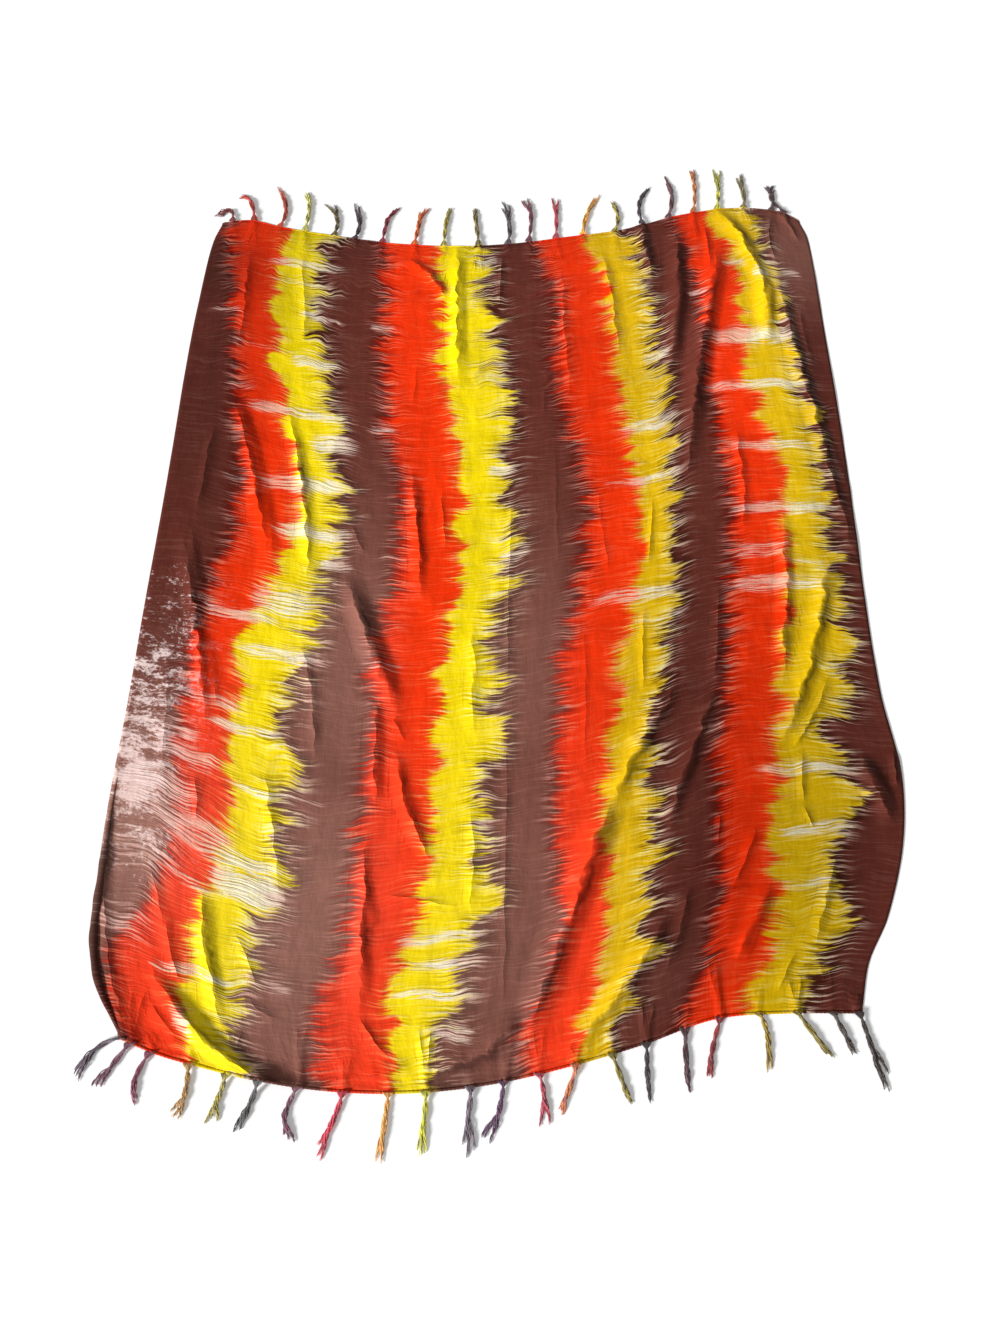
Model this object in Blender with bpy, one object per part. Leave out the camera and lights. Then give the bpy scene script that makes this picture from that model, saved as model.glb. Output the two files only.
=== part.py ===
"""A woven rayon tie-dye shawl, laid out on a floor, with a twisted fringe on both of its ends.

+X runs across the shawl to the right, +Y along it to the far end and +Z up. The origin is on
the floor, under the middle of the whole shawl with its fringe. Sizes are in metres.
"""

import math
from collections import namedtuple

import bmesh
import bpy
from mathutils import Vector

# The cloth as it lies
HALF_WIDTH = 0.575
LENGTH = 1.480
CLOTH_THICKNESS = 0.0015
CELLS_ACROSS = 84
CELLS_ALONG = 62

# The corded strip along each end, which the fringe is knotted into
SEAM_GAP = 0.00035
STRIP_WIDTH = 0.004
STRIP_HEIGHT = 0.0022

# One tassel of the fringe: three locks that are twisted together, then fan out
LOCKS = 3
LOCK_SIDES = 3
LOCK_RADIUS = 0.0014
CORD_RADIUS = 0.0022
ROOT_RADIUS = 0.0008
ROOT_SPACING = 0.0042
ROOT_HEIGHT = 0.0012
FLOOR_CLEARANCE = 0.0004
TWIST_STEP = math.radians(60)
CORD_STATIONS = (0.10, 0.25, 0.39, 0.52, 0.65)
FAN_STATIONS = (0.82, 1.0)
TIP_RADIUS = 0.0008

# Colours, as red, green and blue from 0 to 1, in linear light
CLOTH_YELLOW = (0.80, 0.60, 0.02)
FRINGE_BROWN = (0.19, 0.09, 0.07)
RAYON_ROUGHNESS = 0.55

# How far each side edge lies inside the half width, from the near end (0) to the far end (1)
Side = namedtuple("Side", "along left_inset right_inset")
SIDES = (
    Side(0.00, 0.075, 0.126),
    Side(0.04, 0.036, 0.108),
    Side(0.08, 0.016, 0.073),
    Side(0.15, 0.011, 0.034),
    Side(0.22, 0.008, 0.018),
    Side(0.30, 0.009, 0.026),
    Side(0.40, 0.008, 0.024),
    Side(0.60, 0.007, 0.011),
    Side(0.80, 0.004, 0.005),
    Side(0.92, 0.008, 0.002),
    Side(0.97, 0.013, 0.004),
    Side(1.00, 0.024, 0.013),
)

# How far each end lies past its nominal line, from the left side (0) to the right side (1)
End = namedtuple("End", "across near far")
ENDS = (
    End(0.00, -0.006, -0.012),
    End(0.05, -0.024, -0.005),
    End(0.10, -0.037, -0.022),
    End(0.20, -0.058, -0.048),
    End(0.30, -0.069, -0.069),
    End(0.40, -0.070, -0.076),
    End(0.50, -0.060, -0.070),
    End(0.60, -0.040, -0.050),
    End(0.70, -0.014, -0.029),
    End(0.80, 0.017, 0.011),
    End(0.90, 0.024, 0.029),
    End(1.00, 0.024, 0.016),
)

# The largest folds. Each crest runs through three places on the floor, from its near end to its
# far end. A lean above 0 makes the right flank the steep one, and below 0 the left one.
Fold = namedtuple("Fold", "near middle far half_width height lean")
FOLDS = (
    # Along the left side, from the near corner up
    Fold((-0.468, -0.040), (-0.537, 0.119), (-0.562, 0.330), 0.020, 0.0120, -0.45),
    Fold((-0.296, -0.085), (-0.392, -0.014), (-0.452, 0.085), 0.034, 0.0140, 0.35),
    Fold((-0.365, -0.015), (-0.403, 0.100), (-0.421, 0.190), 0.015, 0.0050, 0.20),
    Fold((-0.440, 0.400), (-0.482, 0.590), (-0.530, 0.770), 0.018, 0.0070, 0.20),
    Fold((-0.372, 0.670), (-0.435, 0.904), (-0.475, 1.040), 0.018, 0.0070, 0.20),
    Fold((-0.316, 0.640), (-0.341, 0.842), (-0.390, 1.030), 0.015, 0.0045, 0.20),
    # Left of the middle
    Fold((-0.193, 0.005), (-0.199, 0.130), (-0.203, 0.262), 0.015, 0.0045, 0.10),
    Fold((-0.108, 0.215), (-0.144, 0.292), (-0.168, 0.385), 0.015, 0.0045, 0.20),
    Fold((-0.190, 0.290), (-0.197, 0.382), (-0.205, 0.480), 0.015, 0.0040, 0.10),
    Fold((-0.160, 0.420), (-0.217, 0.562), (-0.260, 0.690), 0.017, 0.0065, 0.20),
    Fold((-0.140, 0.620), (-0.148, 0.761), (-0.166, 0.890), 0.015, 0.0045, 0.10),
    # The near end, in the middle
    Fold((-0.115, -0.050), (-0.041, -0.026), (0.022, 0.030), 0.022, 0.0090, 0.10),
    Fold((-0.004, -0.060), (0.081, 0.159), (0.152, 0.335), 0.025, 0.0110, 0.20),
    Fold((0.126, 0.285), (0.187, 0.390), (0.252, 0.500), 0.021, 0.0085, 0.20),
    Fold((0.056, -0.045), (0.160, 0.075), (0.207, 0.150), 0.021, 0.0080, 0.20),
    Fold((0.208, 0.245), (0.258, 0.375), (0.311, 0.495), 0.017, 0.0060, 0.20),
    Fold((0.288, 0.085), (0.320, 0.132), (0.353, 0.195), 0.015, 0.0050, 0.20),
    # Along the right side
    Fold((0.532, 0.270), (0.514, 0.322), (0.503, 0.380), 0.019, 0.0090, 0.20),
    Fold((0.380, 0.370), (0.458, 0.554), (0.509, 0.730), 0.020, 0.0080, 0.20),
    Fold((0.402, 0.480), (0.427, 0.629), (0.446, 0.810), 0.015, 0.0045, 0.10),
    Fold((0.553, 0.650), (0.520, 1.030), (0.496, 1.360), 0.018, 0.0070, 0.30),
    # The far end
    Fold((-0.106, 1.250), (-0.143, 1.322), (-0.200, 1.378), 0.016, 0.0055, 0.20),
    Fold((-0.086, 1.040), (-0.095, 1.240), (-0.093, 1.430), 0.018, 0.0055, 0.10),
    Fold((0.270, 1.315), (0.261, 1.401), (0.246, 1.480), 0.016, 0.0055, 0.10),
    Fold((0.276, 1.080), (0.308, 1.271), (0.320, 1.500), 0.021, 0.0090, 0.20),
    Fold((0.284, 0.840), (0.350, 1.190), (0.404, 1.425), 0.025, 0.0125, 0.30),
    Fold((0.451, 1.130), (0.464, 1.350), (0.380, 1.535), 0.021, 0.0090, 0.20),
)
FOLD_SAMPLES = 14
FOLD_TAPER = 0.30

# The fringe. Each tassel starts across the end at this place, bends through one point and ends at
# its tip, both measured from the start, with y growing away from the cloth.
Tassel = namedtuple("Tassel", "across bend_x bend_y tip_x tip_y fan")
FAR_TASSELS = (
    Tassel(-0.531, -0.011, 0.030, -0.040, 0.014, 0.0030),
    Tassel(-0.489, -0.014, 0.052, -0.032, 0.076, 0.0040),
    Tassel(-0.439, 0.007, 0.048, -0.011, 0.110, 0.0040),
    Tassel(-0.390, 0.003, 0.070, -0.006, 0.112, 0.0030),
    Tassel(-0.333, 0.002, 0.047, -0.021, 0.089, 0.0060),
    Tassel(-0.293, 0.007, 0.044, -0.001, 0.117, 0.0045),
    Tassel(-0.239, 0.005, 0.055, 0.018, 0.105, 0.0040),
    Tassel(-0.178, 0.006, 0.055, 0.012, 0.102, 0.0060),
    Tassel(-0.122, 0.002, 0.060, 0.012, 0.108, 0.0035),
    Tassel(-0.056, -0.006, 0.060, -0.011, 0.105, 0.0030),
    Tassel(-0.001, 0.002, 0.058, -0.017, 0.110, 0.0050),
    Tassel(0.039, 0.005, 0.065, 0.002, 0.120, 0.0060),
    Tassel(0.091, 0.002, 0.065, 0.001, 0.118, 0.0040),
    Tassel(0.143, 0.007, 0.046, 0.030, 0.112, 0.0060),
    Tassel(0.204, 0.007, 0.047, -0.013, 0.089, 0.0040),
    Tassel(0.258, -0.002, 0.060, 0.021, 0.118, 0.0050),
    Tassel(0.309, 0.012, 0.059, 0.009, 0.120, 0.0040),
    Tassel(0.359, 0.008, 0.067, 0.005, 0.123, 0.0035),
    Tassel(0.406, 0.008, 0.060, 0.010, 0.116, 0.0040),
    Tassel(0.457, 0.005, 0.043, -0.001, 0.102, 0.0040),
    Tassel(0.511, 0.009, 0.040, -0.002, 0.080, 0.0035),
    Tassel(0.538, 0.002, 0.042, 0.016, 0.078, 0.0035),
)
NEAR_TASSELS = (
    Tassel(-0.495, -0.031, 0.012, -0.046, 0.050, 0.0035),
    Tassel(-0.482, -0.020, 0.026, -0.027, 0.050, 0.0040),
    Tassel(-0.455, -0.015, 0.030, -0.009, 0.057, 0.0035),
    Tassel(-0.406, 0.000, 0.035, -0.007, 0.066, 0.0045),
    Tassel(-0.356, -0.009, 0.030, -0.017, 0.056, 0.0060),
    Tassel(-0.313, -0.014, 0.032, -0.021, 0.064, 0.0045),
    Tassel(-0.266, -0.014, 0.028, -0.017, 0.064, 0.0070),
    Tassel(-0.210, -0.011, 0.033, -0.029, 0.069, 0.0035),
    Tassel(-0.154, -0.003, 0.030, -0.008, 0.079, 0.0040),
    Tassel(-0.108, -0.001, 0.032, -0.007, 0.071, 0.0050),
    Tassel(-0.052, -0.003, 0.032, -0.011, 0.073, 0.0050),
    Tassel(-0.011, -0.005, 0.028, -0.014, 0.067, 0.0060),
    Tassel(0.033, 0.006, 0.028, 0.006, 0.063, 0.0040),
    Tassel(0.080, -0.011, 0.030, -0.024, 0.054, 0.0045),
    Tassel(0.125, 0.012, 0.034, 0.021, 0.064, 0.0035),
    Tassel(0.169, -0.001, 0.034, -0.002, 0.074, 0.0030),
    Tassel(0.220, -0.002, 0.041, 0.004, 0.073, 0.0060),
    Tassel(0.266, -0.013, 0.034, -0.022, 0.070, 0.0050),
    Tassel(0.315, 0.008, 0.024, 0.006, 0.068, 0.0045),
    Tassel(0.364, 0.016, 0.022, 0.039, 0.057, 0.0040),
    Tassel(0.411, 0.010, 0.024, 0.024, 0.054, 0.0030),
    Tassel(0.443, 0.009, 0.036, 0.016, 0.088, 0.0060),
)


def remove_scene_objects():
    """Empty the scene that the script is run in."""
    for item in list(bpy.data.objects):
        bpy.data.objects.remove(item, do_unlink=True)


def rayon(name, colour):
    """A dyed rayon finish."""
    material = bpy.data.materials.new(name)
    material.use_nodes = True
    shader = material.node_tree.nodes["Principled BSDF"]
    shader.inputs["Base Color"].default_value = (*colour, 1.0)
    shader.inputs["Roughness"].default_value = RAYON_ROUGHNESS
    shader.inputs["Metallic"].default_value = 0.0
    return material


def smooth_step(value):
    """A rise from 0 to 1 that starts and ends level."""
    value = min(max(value, 0.0), 1.0)
    return value * value * (3.0 - 2.0 * value)


def read_curve(rows, place, column):
    """The value of a table's column at a place between its rows, on a smooth curve."""
    stations = [row[0] for row in rows]
    index = max(i for i in range(len(rows) - 1) if stations[i] <= max(place, 0.0))
    start, end = rows[index], rows[index + 1]
    before, after = rows[max(index - 1, 0)], rows[min(index + 2, len(rows) - 1)]
    values = [getattr(row, column) for row in (before, start, end, after)]
    step = end[0] - start[0]
    slope_start = (values[2] - values[0]) / (end[0] - before[0]) * step
    slope_end = (values[3] - values[1]) / (after[0] - start[0]) * step
    part = (place - start[0]) / step
    return (
        (2 * part**3 - 3 * part**2 + 1) * values[1]
        + (part**3 - 2 * part**2 + part) * slope_start
        + (3 * part**2 - 2 * part**3) * values[2]
        + (part**3 - part**2) * slope_end
    )


def cloth_place(across, along):
    """Where a point of the cloth lies on the floor, from its shares of the width and length."""
    left = -HALF_WIDTH + read_curve(SIDES, along, "left_inset")
    right = HALF_WIDTH - read_curve(SIDES, along, "right_inset")
    near = read_curve(ENDS, across, "near")
    far = LENGTH + read_curve(ENDS, across, "far")
    return left + across * (right - left), near + along * (far - near)


def crest_points(fold):
    """Points along a fold's crest, on a curve through its three places."""
    near, middle, far = Vector(fold.near), Vector(fold.middle), Vector(fold.far)
    control = 2 * middle - (near + far) / 2
    points = []
    for sample in range(FOLD_SAMPLES + 1):
        share = sample / FOLD_SAMPLES
        points.append((1 - share) ** 2 * near + 2 * share * (1 - share) * control + share**2 * far)
    return points


def flank(offset, fold):
    """The share of a fold's height at an offset from its line, which is positive to the right."""
    crest = fold.lean * fold.half_width / 2
    reach = fold.half_width - crest if offset > crest else fold.half_width + crest
    share = abs(offset - crest) / reach
    return math.cos(math.pi / 2 * share) ** 2 if share < 1 else 0.0


def fold_lift(fold, crest, place):
    """How far one fold lifts the cloth at a place."""
    best_distance, best_share, best_side = math.inf, 0.0, 1.0
    for index in range(FOLD_SAMPLES):
        start, run = crest[index], crest[index + 1] - crest[index]
        part = min(max((place - start).dot(run) / run.length_squared, 0.0), 1.0)
        away = place - (start + part * run)
        if away.length < best_distance:
            best_distance = away.length
            best_share = (index + part) / FOLD_SAMPLES
            best_side = 1.0 if run.y * away.x - run.x * away.y >= 0 else -1.0
    taper = smooth_step(min(best_share, 1 - best_share) / FOLD_TAPER)
    return fold.height * taper * flank(best_side * best_distance, fold)


CRESTS = [(fold, crest_points(fold)) for fold in FOLDS]


def lift(x, y):
    """How far the cloth stands off the floor: the highest of the folds that reach this place."""
    place = Vector((x, y))
    highest = 0.0
    for fold, crest in CRESTS:
        low_x = min(point.x for point in crest) - fold.half_width
        high_x = max(point.x for point in crest) + fold.half_width
        if low_x < x < high_x and crest[0].y - fold.half_width < y < crest[-1].y + fold.half_width:
            highest = max(highest, fold_lift(fold, crest, place))
    return highest


def raised_wall(columns, rows, place, thickness):
    """A closed wall over a grid, whose underside lies at the height that place gives."""
    mesh = bmesh.new()
    bmesh.ops.create_grid(mesh, x_segments=columns, y_segments=rows, size=0.5)
    for vertex in mesh.verts:
        vertex.co = Vector(place(vertex.co.x + 0.5, vertex.co.y + 0.5))
    top = bmesh.ops.extrude_face_region(mesh, geom=mesh.faces[:], use_keep_orig=True)
    top_points = [item for item in top["geom"] if isinstance(item, bmesh.types.BMVert)]
    bmesh.ops.translate(mesh, verts=top_points, vec=(0, 0, thickness))
    bmesh.ops.triangulate(mesh, faces=mesh.faces[:])
    bmesh.ops.recalc_face_normals(mesh, faces=mesh.faces[:])
    return mesh


def make_object(name, mesh, material):
    """Put a finished bmesh into the scene as a named object."""
    data = bpy.data.meshes.new(name)
    mesh.to_mesh(data)
    mesh.free()
    data.materials.append(material)
    data.shade_smooth()
    data.set_sharp_from_angle(angle=math.radians(40))
    item = bpy.data.objects.new(name, data)
    bpy.context.collection.objects.link(item)
    return item


def panel_place(across, along):
    """A point of the panel's underside."""
    x, y = cloth_place(across, along)
    return x, y, lift(x, y)


def woven_panel():
    """The one woven panel, a selvage on each side."""
    mesh = raised_wall(CELLS_ACROSS, CELLS_ALONG, panel_place, CLOTH_THICKNESS)
    return make_object("woven_panel", mesh, rayon("woven_rayon", CLOTH_YELLOW))


def across_at(x, along):
    """The share of the width at which a place across an end lies."""
    left, right = cloth_place(0.0, along)[0], cloth_place(1.0, along)[0]
    return (x - left) / (right - left)


def lock_offset(lock, station):
    """A twisted lock's place round its cord: sideways and up, in cord radii."""
    angle = math.pi + (station * TWIST_STEP) - lock * math.tau / LOCKS
    return math.cos(angle), math.sin(angle)


def tassel_centre(tassel, share):
    """The middle of a tassel at a share of its length, from its start, and its direction."""
    bend, tip = Vector((tassel.bend_x, tassel.bend_y)), Vector((tassel.tip_x, tassel.tip_y))
    control = 2 * bend - tip / 2
    place = 2 * share * (1 - share) * control + share**2 * tip
    heading = (2 * (1 - 2 * share) * control + 2 * share * tip).normalized()
    return place, heading


def lock_rings(tassel, lock):
    """The rings of one lock: in the strip, twisted round its neighbours, and fanned out.

    Each ring is its middle as (x, y, z) from the tassel's start, its radius and its sideways
    direction. Looking from the cloth, the locks start and end side by side.
    """
    order_in = (lock - (LOCKS - 1) / 2) * ROOT_SPACING
    last_twist = len(CORD_STATIONS) - 1
    ends = sorted(range(LOCKS), key=lambda other: lock_offset(other, last_twist + 0.1)[0])
    order_out = ends.index(lock) - (LOCKS - 1) / 2
    cord_height = CORD_RADIUS + LOCK_RADIUS + FLOOR_CLEARANCE
    rings = [(Vector((order_in, -STRIP_WIDTH / 2)), ROOT_HEIGHT, ROOT_RADIUS, Vector((1, 0)))]
    for station, share in enumerate(CORD_STATIONS):
        place, heading = tassel_centre(tassel, share)
        side = Vector((heading.y, -heading.x))
        sideways, up = lock_offset(lock, station)
        middle = place + side * sideways * CORD_RADIUS
        rings.append((middle, cord_height + up * CORD_RADIUS, LOCK_RADIUS, side))
    for station, share in enumerate(FAN_STATIONS):
        place, heading = tassel_centre(tassel, share)
        side = Vector((heading.y, -heading.x))
        opened = (station + 1) / len(FAN_STATIONS)
        radius = LOCK_RADIUS + (TIP_RADIUS - LOCK_RADIUS) * opened
        spread = order_out * (2 * CORD_RADIUS + opened * tassel.fan)
        height = radius + FLOOR_CLEARANCE + (1 - opened) * CORD_RADIUS
        rings.append((place + side * spread, height, radius, side))
    return rings


def ring_points(start, away, ring, raised):
    """The corners of a lock's ring, with the tassel's own y turned to point off the cloth."""
    middle, height, radius, side = ring
    points = []
    for corner in range(LOCK_SIDES):
        angle = math.pi / 2 + corner * math.tau / LOCK_SIDES
        flat = middle + side * radius * math.cos(angle)
        z = height + radius * math.sin(angle) + raised
        points.append(Vector((start.x + flat.x, start.y + away * flat.y, z)))
    return points


def add_lock(mesh, rings):
    """Extrude one closed lock through its rings of corners."""
    root = mesh.faces.new([mesh.verts.new(point) for point in rings[0]])
    face = root
    for ring in rings[1:]:
        grown = bmesh.ops.extrude_face_region(mesh, geom=[face])
        if face is not root:
            bmesh.ops.delete(mesh, geom=[face], context="FACES_ONLY")
        face = next(item for item in grown["geom"] if isinstance(item, bmesh.types.BMFace))
        for vertex, point in zip(face.verts, ring):
            vertex.co = point


def fringe(name, tassels, along, away):
    """The corded strip along one end, with its tassels grown out of it."""
    edge_y = away * SEAM_GAP

    def strip_place(across, out):
        x, y = cloth_place(across, along)
        offset = out if away > 0 else out - 1
        return x, y + edge_y + offset * STRIP_WIDTH, lift(x, y)

    strip = raised_wall(CELLS_ACROSS, 1, strip_place, STRIP_HEIGHT)
    locks = bmesh.new()
    for tassel in tassels:
        x, y = cloth_place(across_at(tassel.across, along), along)
        start = Vector((x, y + edge_y + away * STRIP_WIDTH))
        for lock in range(LOCKS):
            rings = lock_rings(tassel, lock)
            raised = [lift(x, y) * (1 - smooth_step(index / 4)) for index in range(len(rings))]
            corners = [ring_points(start, away, ring, up) for ring, up in zip(rings, raised)]
            add_lock(locks, corners)
    bmesh.ops.recalc_face_normals(locks, faces=locks.faces[:])
    material = rayon(name + "_rayon", FRINGE_BROWN)
    backing = make_object(name, strip, material)
    guide = make_object(name + "_locks", locks, material)
    guide.hide_render = True
    guide.display_type = "WIRE"
    union = backing.modifiers.new("Grow locks", "BOOLEAN")
    union.operation = "UNION"
    union.object = guide
    return [backing, guide]


def move_to_origin(items):
    """Move the shawl so that its origin is on the floor, under the middle of it."""
    corners = [vertex.co for item in items for vertex in item.data.vertices]
    middle_x = (min(co.x for co in corners) + max(co.x for co in corners)) / 2
    middle_y = (min(co.y for co in corners) + max(co.y for co in corners)) / 2
    for item in items:
        item.location = (-middle_x, -middle_y, 0)


def main():
    """Build the panel and the fringe on each of its ends."""
    remove_scene_objects()
    items = [woven_panel()]
    items += fringe("far_fringe", FAR_TASSELS, 1.0, 1)
    items += fringe("near_fringe", NEAR_TASSELS, 0.0, -1)
    move_to_origin(items)


main()
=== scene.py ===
"""The looks of a tie-dyed rayon shawl that lies flat on a floor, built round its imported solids.

The plan of the cloth is worked out in its own frame: x across from the middle of the width and y
along from the near end, in metres. Shares of the width and of the length are called across and
along, and both run from 0 to 1.
"""

from __future__ import annotations

import logging
import math
from dataclasses import dataclass, field
from enum import Enum
from typing import NamedTuple, Sequence

import bmesh
import bpy
import numpy as np
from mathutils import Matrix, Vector, noise


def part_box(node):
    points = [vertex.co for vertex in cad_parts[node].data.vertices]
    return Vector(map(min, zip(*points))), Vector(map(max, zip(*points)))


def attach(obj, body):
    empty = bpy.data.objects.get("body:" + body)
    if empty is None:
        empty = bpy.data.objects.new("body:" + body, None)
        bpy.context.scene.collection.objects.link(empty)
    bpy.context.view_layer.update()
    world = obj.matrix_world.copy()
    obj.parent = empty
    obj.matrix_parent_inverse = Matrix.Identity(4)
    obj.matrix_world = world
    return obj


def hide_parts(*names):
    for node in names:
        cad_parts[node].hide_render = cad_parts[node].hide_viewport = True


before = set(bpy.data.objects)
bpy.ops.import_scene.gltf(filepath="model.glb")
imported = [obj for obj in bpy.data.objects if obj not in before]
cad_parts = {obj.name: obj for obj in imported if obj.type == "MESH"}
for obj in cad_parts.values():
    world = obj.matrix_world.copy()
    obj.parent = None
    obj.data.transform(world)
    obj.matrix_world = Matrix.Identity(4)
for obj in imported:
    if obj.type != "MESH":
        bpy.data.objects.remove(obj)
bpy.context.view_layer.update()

MM = 0.001
CUT_WIDTH = 1.15
CUT_LENGTH = 1.50

logging.basicConfig(level=logging.INFO, format="%(message)s")
log = logging.getLogger("shawl")


def linear(hex_colour: str) -> tuple[float, float, float, float]:
    """Turn an sRGB hex colour into linear light.

    Args:
        hex_colour: the colour as "#rrggbb".

    Returns:
        Red, green, blue and an alpha of 1.
    """
    parts = [int(hex_colour[i : i + 2], 16) / 255 for i in (1, 3, 5)]
    light = [p / 12.92 if p <= 0.04045 else ((p + 0.055) / 1.055) ** 2.4 for p in parts]
    return (light[0], light[1], light[2], 1.0)


class Dye(Enum):
    """The three dyes of the stripes, in the order in which they follow each other."""

    MAROON = "#632d23"
    RED = "#f43302"
    YELLOW = "#f8dc00"


class EndSide(Enum):
    """The two fringed ends: their share of the length and the way that their fringe points."""

    NEAR = (0.0, -1)
    FAR = (1.0, 1)


class Side(NamedTuple):
    """How far the side edges lie inside the half width, at a share of the length."""

    along: float
    left_inset: float
    right_inset: float


class End(NamedTuple):
    """How far each end lies past its nominal line, at a share of the width."""

    across: float
    near: float
    far: float


class Fold(NamedTuple):
    """A fold or crease in millimetres: its crest through three places, and its section.

    A lean above 0 makes the right flank the steep one, and below 0 the left one.
    """

    near: tuple[float, float]
    middle: tuple[float, float]
    far: tuple[float, float]
    half_width: float
    height: float
    lean: float = 0.2


class Stripes(NamedTuple):
    """Where the twelve borders between the stripes lie, in hundredths of the width."""

    along: float
    borders: tuple[float, ...]


class Mark(NamedTuple):
    """A streak or a patch on the cloth, in hundredths of the width and the length."""

    across: float
    along: float
    half_width: float
    half_length: float
    strength: float


class Tassel(NamedTuple):
    """One tassel in millimetres: its start across the end, a point on it, its tip and its width.

    The point and the tip are measured from the start, with y growing away from the cloth.
    """

    across: float
    bend: tuple[float, float]
    tip: tuple[float, float]
    fan: float
    colour: str
    second: str


SIDES = (
    Side(0.00, 0.075, 0.126),
    Side(0.04, 0.036, 0.108),
    Side(0.08, 0.016, 0.073),
    Side(0.15, 0.011, 0.034),
    Side(0.22, 0.008, 0.018),
    Side(0.30, 0.009, 0.026),
    Side(0.40, 0.008, 0.024),
    Side(0.60, 0.007, 0.011),
    Side(0.80, 0.004, 0.005),
    Side(0.92, 0.008, 0.002),
    Side(0.97, 0.013, 0.004),
    Side(1.00, 0.024, 0.013),
)

ENDS = (
    End(0.00, -0.006, -0.012),
    End(0.05, -0.024, -0.005),
    End(0.10, -0.037, -0.022),
    End(0.20, -0.058, -0.048),
    End(0.30, -0.069, -0.069),
    End(0.40, -0.070, -0.076),
    End(0.50, -0.060, -0.070),
    End(0.60, -0.040, -0.050),
    End(0.70, -0.014, -0.029),
    End(0.80, 0.017, 0.011),
    End(0.90, 0.024, 0.029),
    End(1.00, 0.024, 0.016),
)

# The main folds, from the left to the right
FOLDS = (
    Fold((-468, -40), (-537, 119), (-562, 330), 12, 2.8, -0.45),
    Fold((-211, -84), (-371, -27), (-483, 100), 14, 11.5, 0.15),
    Fold((-365, -15), (-403, 100), (-421, 190), 15, 5),
    Fold((-440, 400), (-482, 590), (-530, 770), 18, 7),
    Fold((-372, 670), (-435, 904), (-475, 1040), 18, 7),
    Fold((-316, 640), (-341, 842), (-390, 1030), 15, 4.5),
    Fold((-193, 5), (-199, 130), (-203, 262), 15, 4.5, 0.10),
    Fold((-108, 215), (-144, 292), (-168, 385), 15, 4.5),
    Fold((-190, 290), (-197, 382), (-205, 480), 15, 4, 0.10),
    Fold((-160, 420), (-217, 562), (-260, 690), 21, 10),
    Fold((-140, 620), (-148, 761), (-166, 890), 15, 4.5, 0.10),
    Fold((-115, -50), (-41, -26), (22, 30), 22, 9, 0.10),
    Fold((-4, -60), (81, 159), (152, 335), 25, 11),
    Fold((126, 285), (187, 390), (252, 500), 21, 8.5),
    Fold((56, -45), (160, 75), (207, 150), 21, 8),
    Fold((208, 245), (258, 375), (311, 495), 17, 6),
    Fold((288, 85), (320, 132), (353, 195), 15, 5),
    Fold((532, 270), (514, 322), (503, 380), 19, 9),
    Fold((380, 370), (458, 554), (509, 730), 20, 8),
    Fold((402, 480), (427, 629), (446, 810), 15, 4.5, 0.10),
    Fold((553, 650), (520, 1030), (496, 1360), 18, 7, 0.30),
    Fold((-106, 1250), (-143, 1322), (-200, 1378), 16, 5.5),
    Fold((-86, 1040), (-95, 1240), (-93, 1430), 18, 5.5, 0.10),
    Fold((270, 1315), (261, 1401), (246, 1480), 16, 5.5, 0.10),
    Fold((276, 1080), (308, 1271), (320, 1500), 21, 9),
    Fold((284, 840), (350, 1190), (404, 1425), 25, 12.5, 0.30),
    Fold((451, 1130), (464, 1350), (380, 1535), 21, 9),
)

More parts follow.
